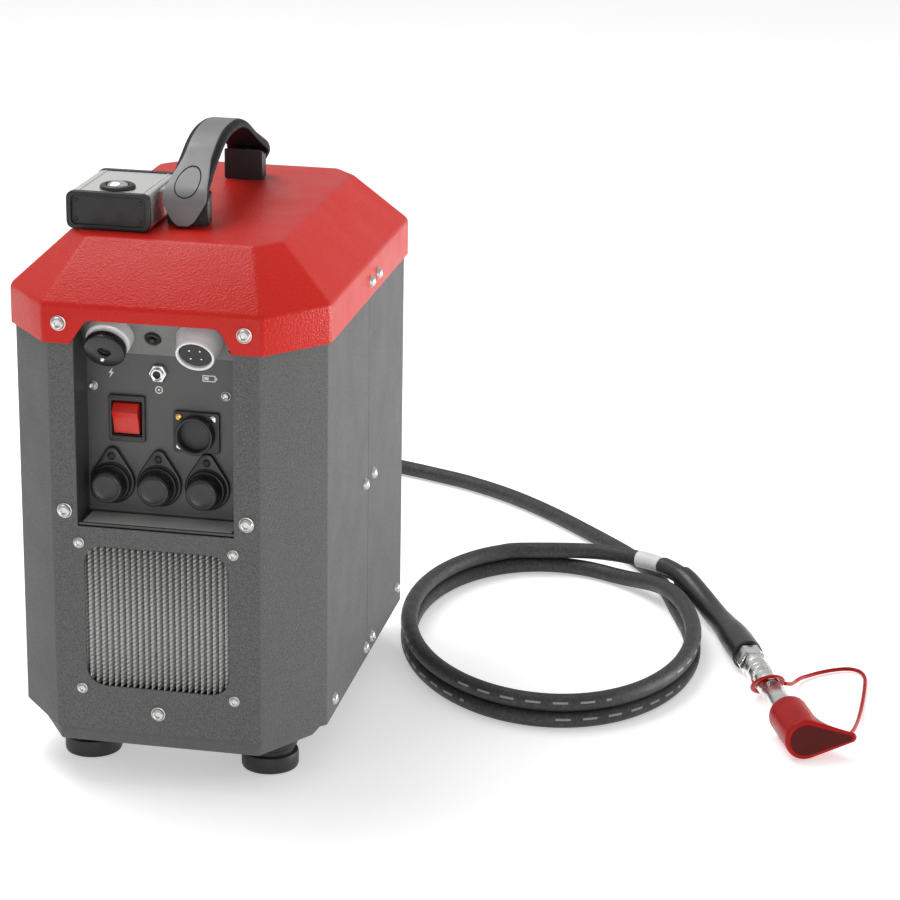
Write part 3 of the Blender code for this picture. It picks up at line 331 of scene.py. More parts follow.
def finished(work, name, matrix=None, sharp=35):
    """Turn working geometry into an object, smooth except at its corners."""
    bmesh.ops.remove_doubles(work, verts=work.verts, dist=0.000002)
    bmesh.ops.recalc_face_normals(work, faces=work.faces)
    mesh = bpy.data.meshes.new(name)
    work.to_mesh(mesh)
    work.free()
    mesh.shade_smooth()
    mesh.set_sharp_from_angle(angle=math.radians(sharp))
    return keep(name, mesh, matrix)


def facing(place, axis):
    """A frame at a place whose Z is the axis, and whose Y points as far up as it can."""
    z = Vector(axis).normalized()
    up = Vector((0, 0, 1)) if abs(z.z) < 0.95 else Vector((0, 1, 0))
    x = up.cross(z).normalized()
    turn = Matrix((x, z.cross(x), z)).transposed().to_4x4()
    return Matrix.Translation(place) @ turn


def lathe(name, profile, matrix, steps=48, six_sided=()):
    """A (radius, height) profile turned round Z. The rings named in six_sided are hexagons."""
    work = bmesh.new()
    rings = []
    for index, (radius, height) in enumerate(profile):
        if radius < 0.000001:
            rings.append([work.verts.new((0, 0, height))])
            continue
        ring = []
        for i in range(steps):
            angle = math.tau * i / steps
            reach = radius
            if index in six_sided:
                reach *= math.cos(math.pi / 6) / math.cos(angle % (math.pi / 3) - math.pi / 6)
            ring.append(work.verts.new((reach * math.cos(angle), reach * math.sin(angle), height)))
        rings.append(ring)
    for lower, upper in zip(rings, rings[1:]):
        for i in range(steps):
            j = (i + 1) % steps
            corners = [lower[i % len(lower)], lower[j % len(lower)],
                       upper[j % len(upper)], upper[i % len(upper)]]
            corners = list(dict.fromkeys(corners))
            if len(corners) > 2:
                work.faces.new(corners)
    return finished(work, name, matrix)


def loft(name, rings, close_start=False, close_end=False, matrix=None, sharp=35, round_off=None):
    work = bmesh.new()
    levels = [[work.verts.new(point) for point in ring] for ring in rings]
    for lower, upper in zip(levels, levels[1:]):
        for i in range(len(lower)):
            j = (i + 1) % len(lower)
            work.faces.new((lower[i], lower[j], upper[j], upper[i]))
    if close_start:
        work.faces.new(list(reversed(levels[0])))
    if close_end:
        work.faces.new(levels[-1])
    if round_off:
        work.normal_update()
        folds = [edge for edge in work.edges if len(edge.link_faces) == 2 and edge.calc_face_angle() > 0.2]
        bmesh.ops.bevel(work, geom=folds, offset=round_off, segments=4, profile=0.5, affect="EDGES")
    return finished(work, name, matrix, sharp)


def plate(name, outlines, thickness, plane="XY", middle=(0, 0, 0), edge=0.0, matrix=None):
    """A flat piece from a closed outline, with holes if more follow, and rounded over by edge."""
    curve = bpy.data.curves.new(name, "CURVE")
    curve.dimensions = "2D"
    curve.fill_mode = "BOTH"
    curve.extrude = thickness / 2 - edge
    curve.bevel_depth = edge
    curve.bevel_resolution = 2
    curve.offset = -edge
    for outline in outlines:
        spline = curve.splines.new("POLY")
        spline.points.add(len(outline) - 1)
        for point, (u, v) in zip(spline.points, outline):
            point.co = (u, v, 0.0, 1.0)
        spline.use_cyclic_u = True
    source = keep(name + "_outline", curve)
    bpy.context.view_layer.update()
    graph = bpy.context.evaluated_depsgraph_get()
    mesh = bpy.data.meshes.new_from_object(source.evaluated_get(graph))
    bpy.data.objects.remove(source, do_unlink=True)
    work = bmesh.new()
    work.from_mesh(mesh)
    bpy.data.meshes.remove(mesh)
    return finished(work, name, matrix or Matrix.Translation(middle) @ PLANES[plane])


def wall(name, points, bottom, top, thickness):
    """A folded upright sheet along a line of points, its thickness towards the middle."""
    work = bmesh.new()
    low = [work.verts.new((x, y, bottom)) for x, y in points]
    high = [work.verts.new((x, y, top)) for x, y in points]
    for i in range(len(points) - 1):
        work.faces.new((low[i], low[i + 1], high[i + 1], high[i]))
    work.normal_update()
    face = work.faces[:][len(points) // 2]
    if face.normal.dot(face.calc_center_median() * Vector((1, 1, 0))) < 0:
        bmesh.ops.reverse_faces(work, faces=work.faces)
    mesh = bpy.data.meshes.new(name)
    work.to_mesh(mesh)
    work.free()
    return solid(keep(name, mesh), thickness)


def solid(made, thickness):
    step = made.modifiers.new("sheet", "SOLIDIFY")
    step.thickness = thickness
    step.offset = -1.0
    step.use_even_offset = True
    return made


def rounded(made, width, segments=3, angle=30):
    step = made.modifiers.new("rounded", "BEVEL")
    step.width = width
    step.segments = segments
    step.limit_method = "ANGLE"
    step.angle_limit = math.radians(angle)
    step.harden_normals = True
    return made


def applied(made):
    """Make an object's modifiers part of its mesh."""
    graph = bpy.context.evaluated_depsgraph_get()
    graph.update()
    mesh = bpy.data.meshes.new_from_object(made.evaluated_get(graph))
    made.modifiers.clear()
    made.data = mesh
    return made


def combine(made, others, operation="DIFFERENCE"):
    """Cut other shapes out of one, or join them to it, and remove them."""
    for other in others:
        step = made.modifiers.new("step", "BOOLEAN")
        step.operation = operation
        step.solver = "EXACT"
        step.object = other
    applied(made)
    for other in others:
        bpy.data.objects.remove(other, do_unlink=True)
    made.data.shade_smooth()
    made.data.set_sharp_from_angle(angle=math.radians(35))
    return made


def cutter(name, radius, length, place, axis, steps=48):
    profile = [(0, length / 2), (radius, length / 2), (radius, -length / 2), (0, -length / 2)]
    return lathe(name, profile, facing(place, axis), steps)


def sweep(name, path, stations, sides=24, uv=None):
    """A round skin along a path. Stations are (distance along the path, radius)."""
    lengths = [0.0]
    for a, b in zip(path, path[1:]):
        lengths.append(lengths[-1] + (b - a).length)

    def at(distance):
        distance = min(max(distance, 0.0), lengths[-1])
        i = max(k for k in range(len(path) - 1) if lengths[k] <= distance or k == 0)
        part = (distance - lengths[i]) / (lengths[i + 1] - lengths[i])
        before, after = path[max(i - 1, 0)], path[min(i + 2, len(path) - 1)]
        heading = (path[i + 1] - before).normalized().lerp((after - path[i]).normalized(), part)
        return path[i].lerp(path[i + 1], part), heading.normalized()

    work = bmesh.new()
    layer = work.loops.layers.uv.new(uv) if uv else None
    rings = []
    for distance, radius in stations:
        place, heading = at(distance)
        side = heading.cross(Vector((0, 0, 1))).normalized()
        up = side.cross(heading)
        ring = []
        for i in range(sides):
            angle = math.tau * i / sides
            ring.append(work.verts.new(place + (side * math.cos(angle) + up * math.sin(angle)) * radius))
        rings.append(ring)
    around = math.tau * max(radius for _, radius in stations) / sides
    for (lower, upper), ((start, _), (end, _)) in zip(zip(rings, rings[1:]), zip(stations, stations[1:])):
        for i in range(sides):
            j = (i + 1) % sides
            face = work.faces.new((lower[i], lower[j], upper[j], upper[i]))
            if layer:
                spots = ((start, i), (start, i + 1), (end, i + 1), (end, i))
                for loop, (u, v) in zip(face.loops, spots):
                    loop[layer].uv = (u, v * around)
    work.faces.new(list(reversed(rings[0])))
    work.faces.new(rings[-1])
    bmesh.ops.recalc_face_normals(work, faces=work.faces)
    mesh = bpy.data.meshes.new(name)
    work.to_mesh(mesh)
    work.free()
    mesh.shade_smooth()
    mesh.set_sharp_from_angle(angle=math.radians(40))
    return keep(name, mesh)


def piece(made, slot, *nodes, body="casing", look=None):
    """Give a new piece its material and its body, and hide the CAD nodes that it stands for."""
    made.data.materials.clear()
    made.data.materials.append(LOOKS[look or slot])
    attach(made, body)
    if nodes:
        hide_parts(*nodes)
    return made


# ---- outlines and routes ------------------------------------------------------------------
def octagon(half_x, half_y, corner_x, corner_y, height):
    flat = [
        (half_x, -half_y + corner_y), (half_x, half_y - corner_y), (half_x - corner_x, half_y),
        (-half_x + corner_x, half_y), (-half_x, half_y - corner_y), (-half_x, -half_y + corner_y),
        (-half_x + corner_x, -half_y), (half_x - corner_x, -half_y),
    ]
    return [(x, y, height) for x, y in flat]


def arc(middle, radius, start, end, steps):
    return [(middle[0] + radius * math.cos(a), middle[1] + radius * math.sin(a))
            for a in (start + (end - start) * i / steps for i in range(steps + 1))]


def fillet(points, radius, steps=4, closed=False):
    """Round the corners of a line of 2D points."""
    spots = [Vector(point) for point in points]
    count = len(spots)
    line = []
    for i, corner in enumerate(spots):
        if not closed and i in (0, count - 1):
            line.append(tuple(corner))
            continue
        before = (spots[i - 1] - corner).normalized()
        after = (spots[(i + 1) % count] - corner).normalized()
        half = before.angle(after) / 2
        reach = radius / math.tan(half)
        for k in range(steps + 1):
            t = k / steps
            a, b = corner + before * reach * (1 - t), corner + after * reach * t
            line.append(tuple(a.lerp(b, t)))
    return line


def rounded_rectangle(left, right, low, high, radius, steps=6):
    return fillet([(left, low), (right, low), (right, high), (left, high)], radius, steps, closed=True)


def drop(middle, radius, tip, tip_radius, steps=24):
    """A disc and a smaller disc above it, wrapped by one outline."""
    rise = tip[1] - middle[1]
    lean = math.asin(min(1.0, (radius - tip_radius) / rise))
    return (arc(middle, radius, math.pi - lean, math.tau + lean, steps)
            + arc(tip, tip_radius, lean, math.pi - lean, steps // 2))


def smooth_route(points, steps):
    """Points on a smooth curve through the route's own points."""
    places = [Vector(point) for point in points]
    padded = [2 * places[0] - places[1], *places, 2 * places[-1] - places[-2]]
    line = []
    for before, start, end, after in zip(padded, padded[1:], padded[2:], padded[3:]):
        for i in range(steps):
            t = i / steps
            line.append(0.5 * (2 * start + (end - before) * t
                               + (2 * before - 5 * start + 4 * end - after) * t * t
                               + (3 * start - before - 3 * end + after) * t ** 3))
    lowest = min(place.z for place in places)
    return [Vector((p.x, p.y, max(p.z, lowest))) for p in line + [places[-1]]]


def distance_along(path, count):
    return sum((b - a).length for a, b in zip(path[:count], path[1:count + 1]))


# ---- camera -------------------------------------------------------------------------------
def add_camera():
    yaw, pitch, roll = 0.1839, 0.3162, 0.0172
    forward = Vector((-math.sin(yaw) * math.cos(pitch), math.cos(yaw) * math.cos(pitch), -math.sin(pitch)))
    level = Vector((math.cos(yaw), math.sin(yaw), 0))
    upright = level.cross(forward)
    right = level * math.cos(roll) + upright * math.sin(roll)
    up = upright * math.cos(roll) - level * math.sin(roll)
    data = bpy.data.cameras.new("camera")
    data.sensor_width = 36
    data.lens = 111.87
    data.clip_start = 0.05
    turn = Matrix((right, up, -forward)).transposed().to_4x4()
    made = keep("camera", data, Matrix.Translation((0.4984, -1.8018, 0.798)) @ turn)
    bpy.context.scene.camera = made


# ---- hose ---------------------------------------------------------------------------------
def coil_place(degrees, height):
    angle = math.radians(degrees)
    flat = Vector((COIL_HALF_WIDTH * math.cos(angle), COIL_HALF_LENGTH * math.sin(angle)))
    flat = Matrix.Rotation(COIL_TURN, 2) @ flat + COIL_CENTRE
    return (flat.x, flat.y, height)


def hose_route():
    """From the bulkhead, along the floor, twice round the coil and on to the coupler."""
    start, climb, top, leave = 12, -300, -340, -620
    upper = 3 * HOSE_RADIUS + 0.0001
    coil = []
    for degrees in range(start, leave - 1, -8):
        rise = min(max((climb - degrees) / (climb - top), 0), 1)
        rise = rise * rise * (3 - 2 * rise)
        coil.append(coil_place(degrees, HOSE_RADIUS + (upper - HOSE_RADIUS) * rise))
    inside_fitting = COUPLER_START + coupler_axis() * 0.022
    return RUN_ROUTE + coil + END_ROUTE + [tuple(inside_fitting)]


def hose():
    path = smooth_route(hose_route(), 5)
    length = distance_along(path, len(path) - 1)
    rings = int(length / 0.004)
    stations = [(length * i / rings, HOSE_RADIUS) for i in range(rings + 1)]
    made = sweep("pressure_hose", path, stations, 28, uv="hose")
    piece(made, "hose_cover", "hose_run", "hose_coil", "hose_end")
    return made, path


def sleeve(name, path, start, end, inner, outer, look, slot, *nodes, flare=0.0):
    """A sleeve over the hose, with a rolled lip at both ends."""
    lip = 0.0006
    grow = outer + flare
    stations = [(start, inner), (start, outer - lip), (start + lip, outer)]
    steps = max(4, int((end - start) / 0.005))
    for i in range(1, steps):
        t = i / steps
        widen = min(max((t - 0.45) / 0.35, 0), 1)
        stations.append((start + (end - start) * t, outer + flare * widen * widen * (3 - 2 * widen)))
    stations += [(end - lip, grow), (end, grow - lip), (end, inner)]
    return piece(sweep(name, path, stations, 32), slot, *nodes, look=look)


def coupler_axis():
    level = math.cos(COUPLER_RISE)
    x = level * math.cos(COUPLER_HEADING)
    y = level * math.sin(COUPLER_HEADING)
    return Vector((x, y, math.sin(COUPLER_RISE)))


def coupler_frame():
    axis = coupler_axis()
    side = Vector((0, 0, 1)).cross(axis).normalized()
    turn = Matrix((side, axis.cross(side), axis)).transposed().to_4x4()
    return Matrix.Translation(COUPLER_START) @ turn


def coupler():
    """The hex fitting, its collar, the nipple, the red ring, the cap and its strap."""
    here = coupler_frame()
    parts = []
    hexagon = mm(
        (0, 2.2), (9, 2.2), (11.2, 3.4), (11.2, 15), (10.4, 16), (8.6, 16.2), (8.6, 17.8), (10.4, 18),
        (11.2, 19), (11.2, 23.6), (9.8, 24.6), (0, 24.6))
    made = lathe("hose_hexagon", hexagon, here, 48, six_sided=(2, 3, 4, 7, 8, 9))
    parts.append(piece(made, "steel", "hex_fitting", look="satin"))
    collar = mm(
        (0, 24.6), (8, 24.6), (8, 26.2), (9.2, 27), (9.2, 33), (8.4, 33.6), (8.4, 35.2), (9.2, 35.8),
        (9.2, 40.8), (8.6, 41.6), (7.2, 41.8), (7.2, 50), (0, 50))
    parts.append(piece(lathe("hose_collar", collar, here), "chrome", look="satin"))
    nipple = mm(
        (0, 50.3), (7.8, 50.3), (8.2, 50.8), (8.2, 64), (7.6, 65), (7.6, 69), (8.2, 70), (8.2, 127),
        (7, 129), (7, 142), (6, 143.2), (0, 143.2))
    parts.append(piece(lathe("quick_nipple", nipple, here), "chrome", "coupler_nipple", look="satin"))
    parts.append(dust_cap(here))
    parts.append(cap_end(here))
    parts.append(cap_ring(here))
    parts.append(cap_strap())
    return parts


def dust_cap(here):
    """The cap: a round cup that widens into a pointed web at its closed end."""
    start, end = 0.1120, 0.1590
    radius, tip_radius = 0.0144, 0.0038
    reach = 0.0320
    rings = []
    inside = mm((8.6, 40), (8.6, 0.4), (9, 0))
    outside = mm((13.4, 0), (14.2, 0.6), (14.4, 1.8))

    def circle(size, height):
        return [(x, y, start + height) for x, y in drop((0, 0), size, (0, size - tip_radius), tip_radius)]

    for size, height in inside + outside:
        rings.append(circle(size, height))
    steps = 16
    for i in range(1, steps + 1):
        t = i / steps
        out = radius - tip_radius + 0.0004 + (reach - radius + tip_radius) * t ** 2.8
        height = 0.0022 + (end - start - 0.0034) * t
        rings.append([(x, y, start + height) for x, y in drop((0, 0), radius, (0, out), tip_radius)])
    for inset, lift in ((0.0004, 0.0008), (0.0012, 0.0012), (0.0030, 0.0013)):
        size = radius - inset
        outline = drop((0, 0), size, (0, reach), tip_radius - min(inset, 0.003))
        rings.append([(x, y, end - 0.0012 + lift) for x, y in outline])
    turned = here @ Matrix.Rotation(-math.pi / 2, 4, "Z")
    made = loft("cap_cup", rings, close_start=True, close_end=True, matrix=turned, sharp=50)
    return piece(made, "cap_red", "dust_cap", body="coupler_cap")


def cap_end(here):
    """The moulded face that closes the cap, in a darker red that is painted shade."""
    outline = drop((0, 0), 0.0112, (0, 0.0310), 0.0020)
    spot = here @ Matrix.Rotation(-math.pi / 2, 4, "Z") @ Matrix.Translation((0, 0, 0.1592))
    made = plate("cap_end", [outline], 0.0004, matrix=spot)
    # painted shade: the end plate's darker red stands in for the shade on the cap's end
    return piece(made, "cap_red", body="coupler_cap", look="painted_shade_cap")


def cap_ring(here):
    """The soft ring of the strap, leaning forward on the nipple."""
    major, minor = 0.0104, 0.0019
    profile = [(major + minor * math.cos(a), minor * math.sin(a)) for a in
               (math.tau * i / 16 for i in range(17))]
    made = lathe("strap_ring", profile, here @ Matrix.Translation((0, 0, 0.0560)))
    lean = Matrix.Identity(4)
    lean[2][1] = math.tan(math.radians(46))
    made.data.transform(lean)
    return piece(made, "cap_red")


def cap_strap():
    path = smooth_route(STRAP_ROUTE, 6)
    length = distance_along(path, len(path) - 1)
    rings = int(length / 0.0025)
    stations = [(length * i / rings, 0.00145) for i in range(rings + 1)]
    made = sweep("strap_cord", path, stations, 14)
    made.data.materials.append(LOOKS["cap_red"])
    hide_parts("cap_strap")
    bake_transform(made)
    return made


def bulkhead():
    """The screwed fitting through the rear wall, with its crimped ferrule and bend guard."""
    x, y, z = HOSE_EXIT
    profile = mm(
        (0, -126.2), (4, -126.2), (4, -61), (8, -60.5), (8, -30), (12.8, -29.7), (13.6, -28.7),
        (13.6, -22.2), (12.8, -21.2), (9.2, -20.8), (9.2, -19.5), (8.4, -18.5))
    for i in range(5):
        low = -0.0180 + i * 0.0034
        profile += [(0.0086, low), (0.0090, low + 0.0006), (0.0090, low + 0.0024), (0.0084, low + 0.0028)]
    profile += [(0.0078, -0.0004), (0, -0.0004)]
    made = lathe("hose_bulkhead", profile, facing((x, y, z), (0, 1, 0)), 48, six_sided=(5, 6, 7, 8))
    return piece(made, "steel", "bulkhead_fitting")


def build_hose():
    made, path = hose()
    steps = 5
    first = len(hose_route()) - len(END_ROUTE) - 1
    marks = {i: distance_along(path, (first + i) * steps) for i in range(len(END_ROUTE))}
    parts = [
        sleeve("bend_guard", path, 0.0, 0.036, HOSE_RADIUS, 0.0086, "rubber", "rubber", flare=-0.0014),
        sleeve("hose_tag", path, marks[2] - 0.002, marks[3] - 0.003, HOSE_RADIUS, 0.0067, "label",
               "hose_cover"),
        sleeve("shrink_cover", path, marks[3] - 0.001, marks[4] + 0.003, HOSE_RADIUS, 0.0073, "shrink",
               "rubber", "shrink_sleeve"),
        sleeve("bend_cover", path, marks[4] - 0.002, marks[9] - 0.0005, HOSE_RADIUS, 0.0090, "shrink",
               "rubber", "bend_sleeve", flare=0.0026),
    ]
    parts += coupler()
    bulkhead()


# ---- casing -------------------------------------------------------------------------------
def casing_line(front, radius=0.003):
    """The outer line of one half of the casing, from one side seam round to the other."""
    low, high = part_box("front_shell" if front else "rear_shell")
    edge = high.y if front else low.y
    half_x, side = high.x, -1 if front else 1
    face = abs(low.y if front else high.y)
    return fillet([
        (-half_x, edge), (-half_x, side * (face - CORNER_Y)), (-half_x + CORNER_X, side * face),
        (half_x - CORNER_X, side * face), (half_x, side * (face - CORNER_Y)), (half_x, edge),
    ], radius)


def casing():
    low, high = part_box("front_shell")
    front = wall("casing_front", casing_line(True), low.z, high.z, SHEET)
    face = low.y
    opening = [(-RECESS_HALF_X, LEDGE_Z - 0.002), (RECESS_HALF_X, LEDGE_Z - 0.002),
               (RECESS_HALF_X, high.z + 0.02), (-RECESS_HALF_X, high.z + 0.02)]
    window = rounded_rectangle(-WINDOW_HALF_X, WINDOW_HALF_X, *WINDOW_Z, WINDOW_RADIUS, 10)
    cuts = [plate("recess_cut", [opening], 0.02, "XZ", (0, face, 0)),
            plate("window_cut", [window], 0.02, "XZ", (0, face, 0))]
    piece(rounded(combine(front, cuts), 0.0004, 2), "casing_paint", "front_shell")

    low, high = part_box("rear_shell")
    rear = wall("casing_rear", casing_line(False), low.z, high.z, SHEET)
    hole = cutter("bulkhead_cut", 0.0089, 0.02, (HOSE_EXIT[0], high.y, HOSE_EXIT[2]), (0, 1, 0))
    piece(rounded(combine(rear, [hole]), 0.0004, 2), "casing_paint", "rear_shell")
    pan()


def pan():
    """The pan under the casing, its sides folded up from a narrower floor."""
    low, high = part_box("base_pan")
    half_x, half_y = high.x, high.y
    floor_x = half_x - 0.009
    rings = [octagon(floor_x, half_y, floor_x - 0.068, CORNER_Y, low.z),
             octagon(half_x, half_y, half_x - 0.0685, CORNER_Y, low.z + 0.0115),
             octagon(half_x, half_y, half_x - 0.0685, CORNER_Y, high.z)]
    made = loft("casing_pan", rings, close_start=True, round_off=0.0018)
    piece(solid(made, SHEET), "casing_paint", "base_pan")


def lid():
    """The hipped lid, folded with small radii, with a notch over the connectors."""
    low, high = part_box("lid")
    skirt = (high.x, high.y, CORNER_X, CORNER_Y)
    rings = [octagon(*skirt, low.z), octagon(*skirt, 0.3304),
             octagon(0.0709, 0.1200, 0.0154, 0.0178, high.z)]
    made = solid(loft("hipped_lid", rings, close_end=True, round_off=0.0024), 0.002)
    outline = fillet([(-0.062, low.z - 0.010), (0.062, low.z - 0.010), (0.0530, low.z - 0.0003),
                      (0.0445, 0.3208), (-0.0430, 0.3208), (-0.0540, low.z - 0.0003)], 0.0075, 8, closed=True)
    notch = plate("notch_cut", [outline], 0.012, "XZ", (0, low.y, 0))
    piece(rounded(combine(made, [notch]), 0.0006, 2, 50), "lid_paint", "lid")


def feet():
    for node in ("foot_front_left", "foot_front_right", "foot_rear_left", "foot_rear_right"):
        low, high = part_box(node)
        r = (high.x - low.x) / 2
        top = high.z
        profile = [(0, 0.0012), (0.0060, 0.0012), (0.0070, 0), (r - 0.0022, 0), (r - 0.0006, 0.0006),
                   (r, 0.0022), (r, 0.0100), (r - 0.0006, 0.0116), (r - 0.0030, 0.0124), (r - 0.0030, 0.0150),
                   (r - 0.0014, 0.0160), (r - 0.0008, 0.0170), (r - 0.0008, top - 0.0012), (r - 0.0020, top),
                   (0, top)]
        place = ((low.x + high.x) / 2, (low.y + high.y) / 2, 0)
        piece(lathe(node + "_rubber", profile, facing(place, (0, 0, 1)), 56), "rubber", node)


# ---- screws -------------------------------------------------------------------------------
SCREWS = {}


def screw(name, place, axis, radius=0.0048, look="steel", nodes=()):
    """A button-head socket screw with its washer. All of one size share a mesh."""
    if radius not in SCREWS:
        r = radius
        profile = [(0, 0.0010 * r / 0.005), (0.42 * r, 0.0012 * r / 0.005), (0.46 * r, 0.0030 * r / 0.005),
                   (0.56 * r, 0.00325 * r / 0.005), (0.72 * r, 0.0029 * r / 0.005),
                   (0.86 * r, 0.0021 * r / 0.005), (0.94 * r, 0.0012 * r / 0.005), (0.94 * r, 0.0007),
                   (1.04 * r, 0.0006), (1.06 * r, 0.0003),
                   (1.06 * r, 0), (0, 0)]
        SCREWS[radius] = lathe(name, profile, facing(place, axis), 36, six_sided=(1, 2))
        made = SCREWS[radius]
    else:
        made = keep(name, SCREWS[radius].data, facing(place, axis))
    return piece(made, "steel", *nodes, look=look)


def screws():
    front_low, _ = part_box("front_shell")
    lid_low, lid_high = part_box("lid")
    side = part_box("front_shell")[1].x
    ahead, right = Vector((0, -1, 0)), Vector((1, 0, 0))
    for end, way, y in (("front", -1, lid_low.y), ("rear", 1, lid_high.y)):
        for hand, x in (("left", -0.061), ("right", 0.061)):
            screw(f"lid_{end}_{hand}", (x, y, 0.318), ahead * -way, nodes=(f"lid_screw_{end}_{hand}",))
    face = front_low.y
    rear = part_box("rear_shell")[1].y
    for number, (x, z, radius) in enumerate((
            (-0.061, 0.191, 0.0048), (0.061, 0.191, 0.0048), (0, 0.053, 0.0046), (-0.052, 0.1695, 0.0034),
            (0.052, 0.1695, 0.0034), (-0.052, 0.067, 0.0034), (0.052, 0.067, 0.0034))):
        screw(f"front_screw_{number}", (x, face, z), ahead, radius)
    for number, x in enumerate((-0.056, 0.056)):
        screw(f"rear_screw_{number}", (x, rear, 0.191), -ahead)
        screw(f"rear_low_screw_{number}", (x, rear, 0.053), -ahead)
    spots = ((SEAM_Y - 0.0108, 0.171), (SEAM_Y + 0.0152, 0.171), (SEAM_Y - 0.0068, 0.0475),
             (SEAM_Y + 0.0132, 0.0485), (-0.100, 0.049), (0.103, 0.053))
    for hand, way in (("right", 1), ("left", -1)):
        for number, (y, z) in enumerate(spots):
            screw(f"{hand}_screw_{number}", (way * side, y, z), right * way, 0.0042)
        for number, y in enumerate((-0.004, 0.0185)):
            screw(f"{hand}_lid_screw_{number}", (way * lid_high.x, y, 0.316), right * way, 0.0042)
    for number, (x, z) in enumerate(((-0.0485, 0.269), (0.0408, 0.268))):
        screw(f"panel_screw_{number}", (x, PANEL_Y, z), ahead, 0.0030)


# ---- filter -------------------------------------------------------------------------------
def air_filter():
    """Rounded paper pleats with their ridges close behind the window."""
    low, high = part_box("filter_element")
    pleats, points = 26, 8
    work = bmesh.new()
    rows = []
    for z in (low.z, high.z):
        row = []
        for i in range(pleats * points + 1):
            x = low.x + (high.x - low.x) * i / (pleats * points)
            phase = math.tau * i / points
            fold = (1 - math.cos(phase)) / 2
            y = low.y + 0.0004 + 0.0085 * fold ** 0.7
            row.append(work.verts.new((x, y, z)))
        rows.append(row)
    for i in range(len(rows[0]) - 1):
        work.faces.new((rows[0][i], rows[0][i + 1], rows[1][i + 1], rows[1][i]))
    made = finished(work, "filter_pleats", sharp=80)
    piece(solid(made, 0.0006), "filter_paper", "filter_element")
    NODES["filter_frame"].data.materials.clear()
    NODES["filter_frame"].data.materials.append(LOOKS["black_plastic"])


# ---- control panel ------------------------------------------------------------------------
def leaning(x, z):
    """A point on the leaning face of the panel, and the way out of it."""
    y = PANEL_Y - (z - PANEL_BEND_Z) * math.tan(PANEL_LEAN)
    return Vector((x, y, z)), Vector((0, -math.cos(PANEL_LEAN), -math.sin(PANEL_LEAN)))


def panel():
    """The sunk panel, folded from one sheet, with its two cheeks."""
    low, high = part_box("control_panel")
    lean = math.tan(PANEL_LEAN)
    inner = fillet([(low.y, LEDGE_Z), (PANEL_Y, LEDGE_Z), (PANEL_Y, PANEL_BEND_Z),
                    (PANEL_Y - (high.z - PANEL_BEND_Z) * lean, high.z)], 0.0022, 5)
    back = PANEL_Y + SHEET
    outer = fillet([(low.y, LEDGE_Z - SHEET), (back, LEDGE_Z - SHEET), (back, PANEL_BEND_Z),
                    (back - (high.z - PANEL_BEND_Z) * lean, high.z)], 0.0037, 5)
    made = plate("panel_sheet", [inner + list(reversed(outer))], high.x - low.x, "YZ")
    cheek = [(low.y, LEDGE_Z), (PANEL_Y, LEDGE_Z), (PANEL_Y, PANEL_BEND_Z), inner[-1], (low.y, high.z)]
    bezel = centre("switch_bezel")
    hole = [(bezel.x - 0.0100, bezel.z - 0.0116), (bezel.x + 0.0100, bezel.z - 0.0116),
            (bezel.x + 0.0100, bezel.z + 0.0116), (bezel.x - 0.0100, bezel.z + 0.0116)]
    combine(made, [plate("switch_cut", [hole], 0.02, "XZ", (0, PANEL_Y, 0))])
    piece(made, "casing_paint", "control_panel", look="panel_paint")
    for name, x in (("panel_cheek_left", low.x + SHEET / 2), ("panel_cheek_right", high.x - SHEET / 2)):
        piece(plate(name, [cheek], SHEET - 0.0001, "YZ", (x, 0, 0)), "casing_paint", look="panel_paint")


def painted_light_plates():
    """Two thin plates of painted light, over the leaning face and over the ledge: lighter greys laid on the
    same sheet where light falls on it.
    """
    thickness = 0.0002
    base, out = leaning(0, 0.3085)
    flat = facing(base + out * (thickness / 2 + 0.00004), out)
    half, tall = RECESS_HALF_X - 0.0026, 0.0185
    outline = rounded_rectangle(-half, half, -tall, tall - 0.0015, 0.0006, 3)
    # painted light: this plate lightens the leaning face, which is the same sheet as the rest of the panel
    piece(plate("painted_light_leaning_plate", [outline], thickness, matrix=flat), "casing_paint", look="painted_light_leaning")
    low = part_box("control_panel")[0]
    near, far = low.y + 0.0022, PANEL_Y - 0.0024
    tread = [(-half, near), (half, near), (half, far), (-half, far)]
    spot = (0, 0, LEDGE_Z + thickness / 2 + 0.00004)
    # painted light: the pale plate brightens the ledge, which lies in shade in the recess
    piece(plate("painted_light_ledge_plate", [tread], thickness, "XY", spot), "casing_paint", look="painted_light_ledge")


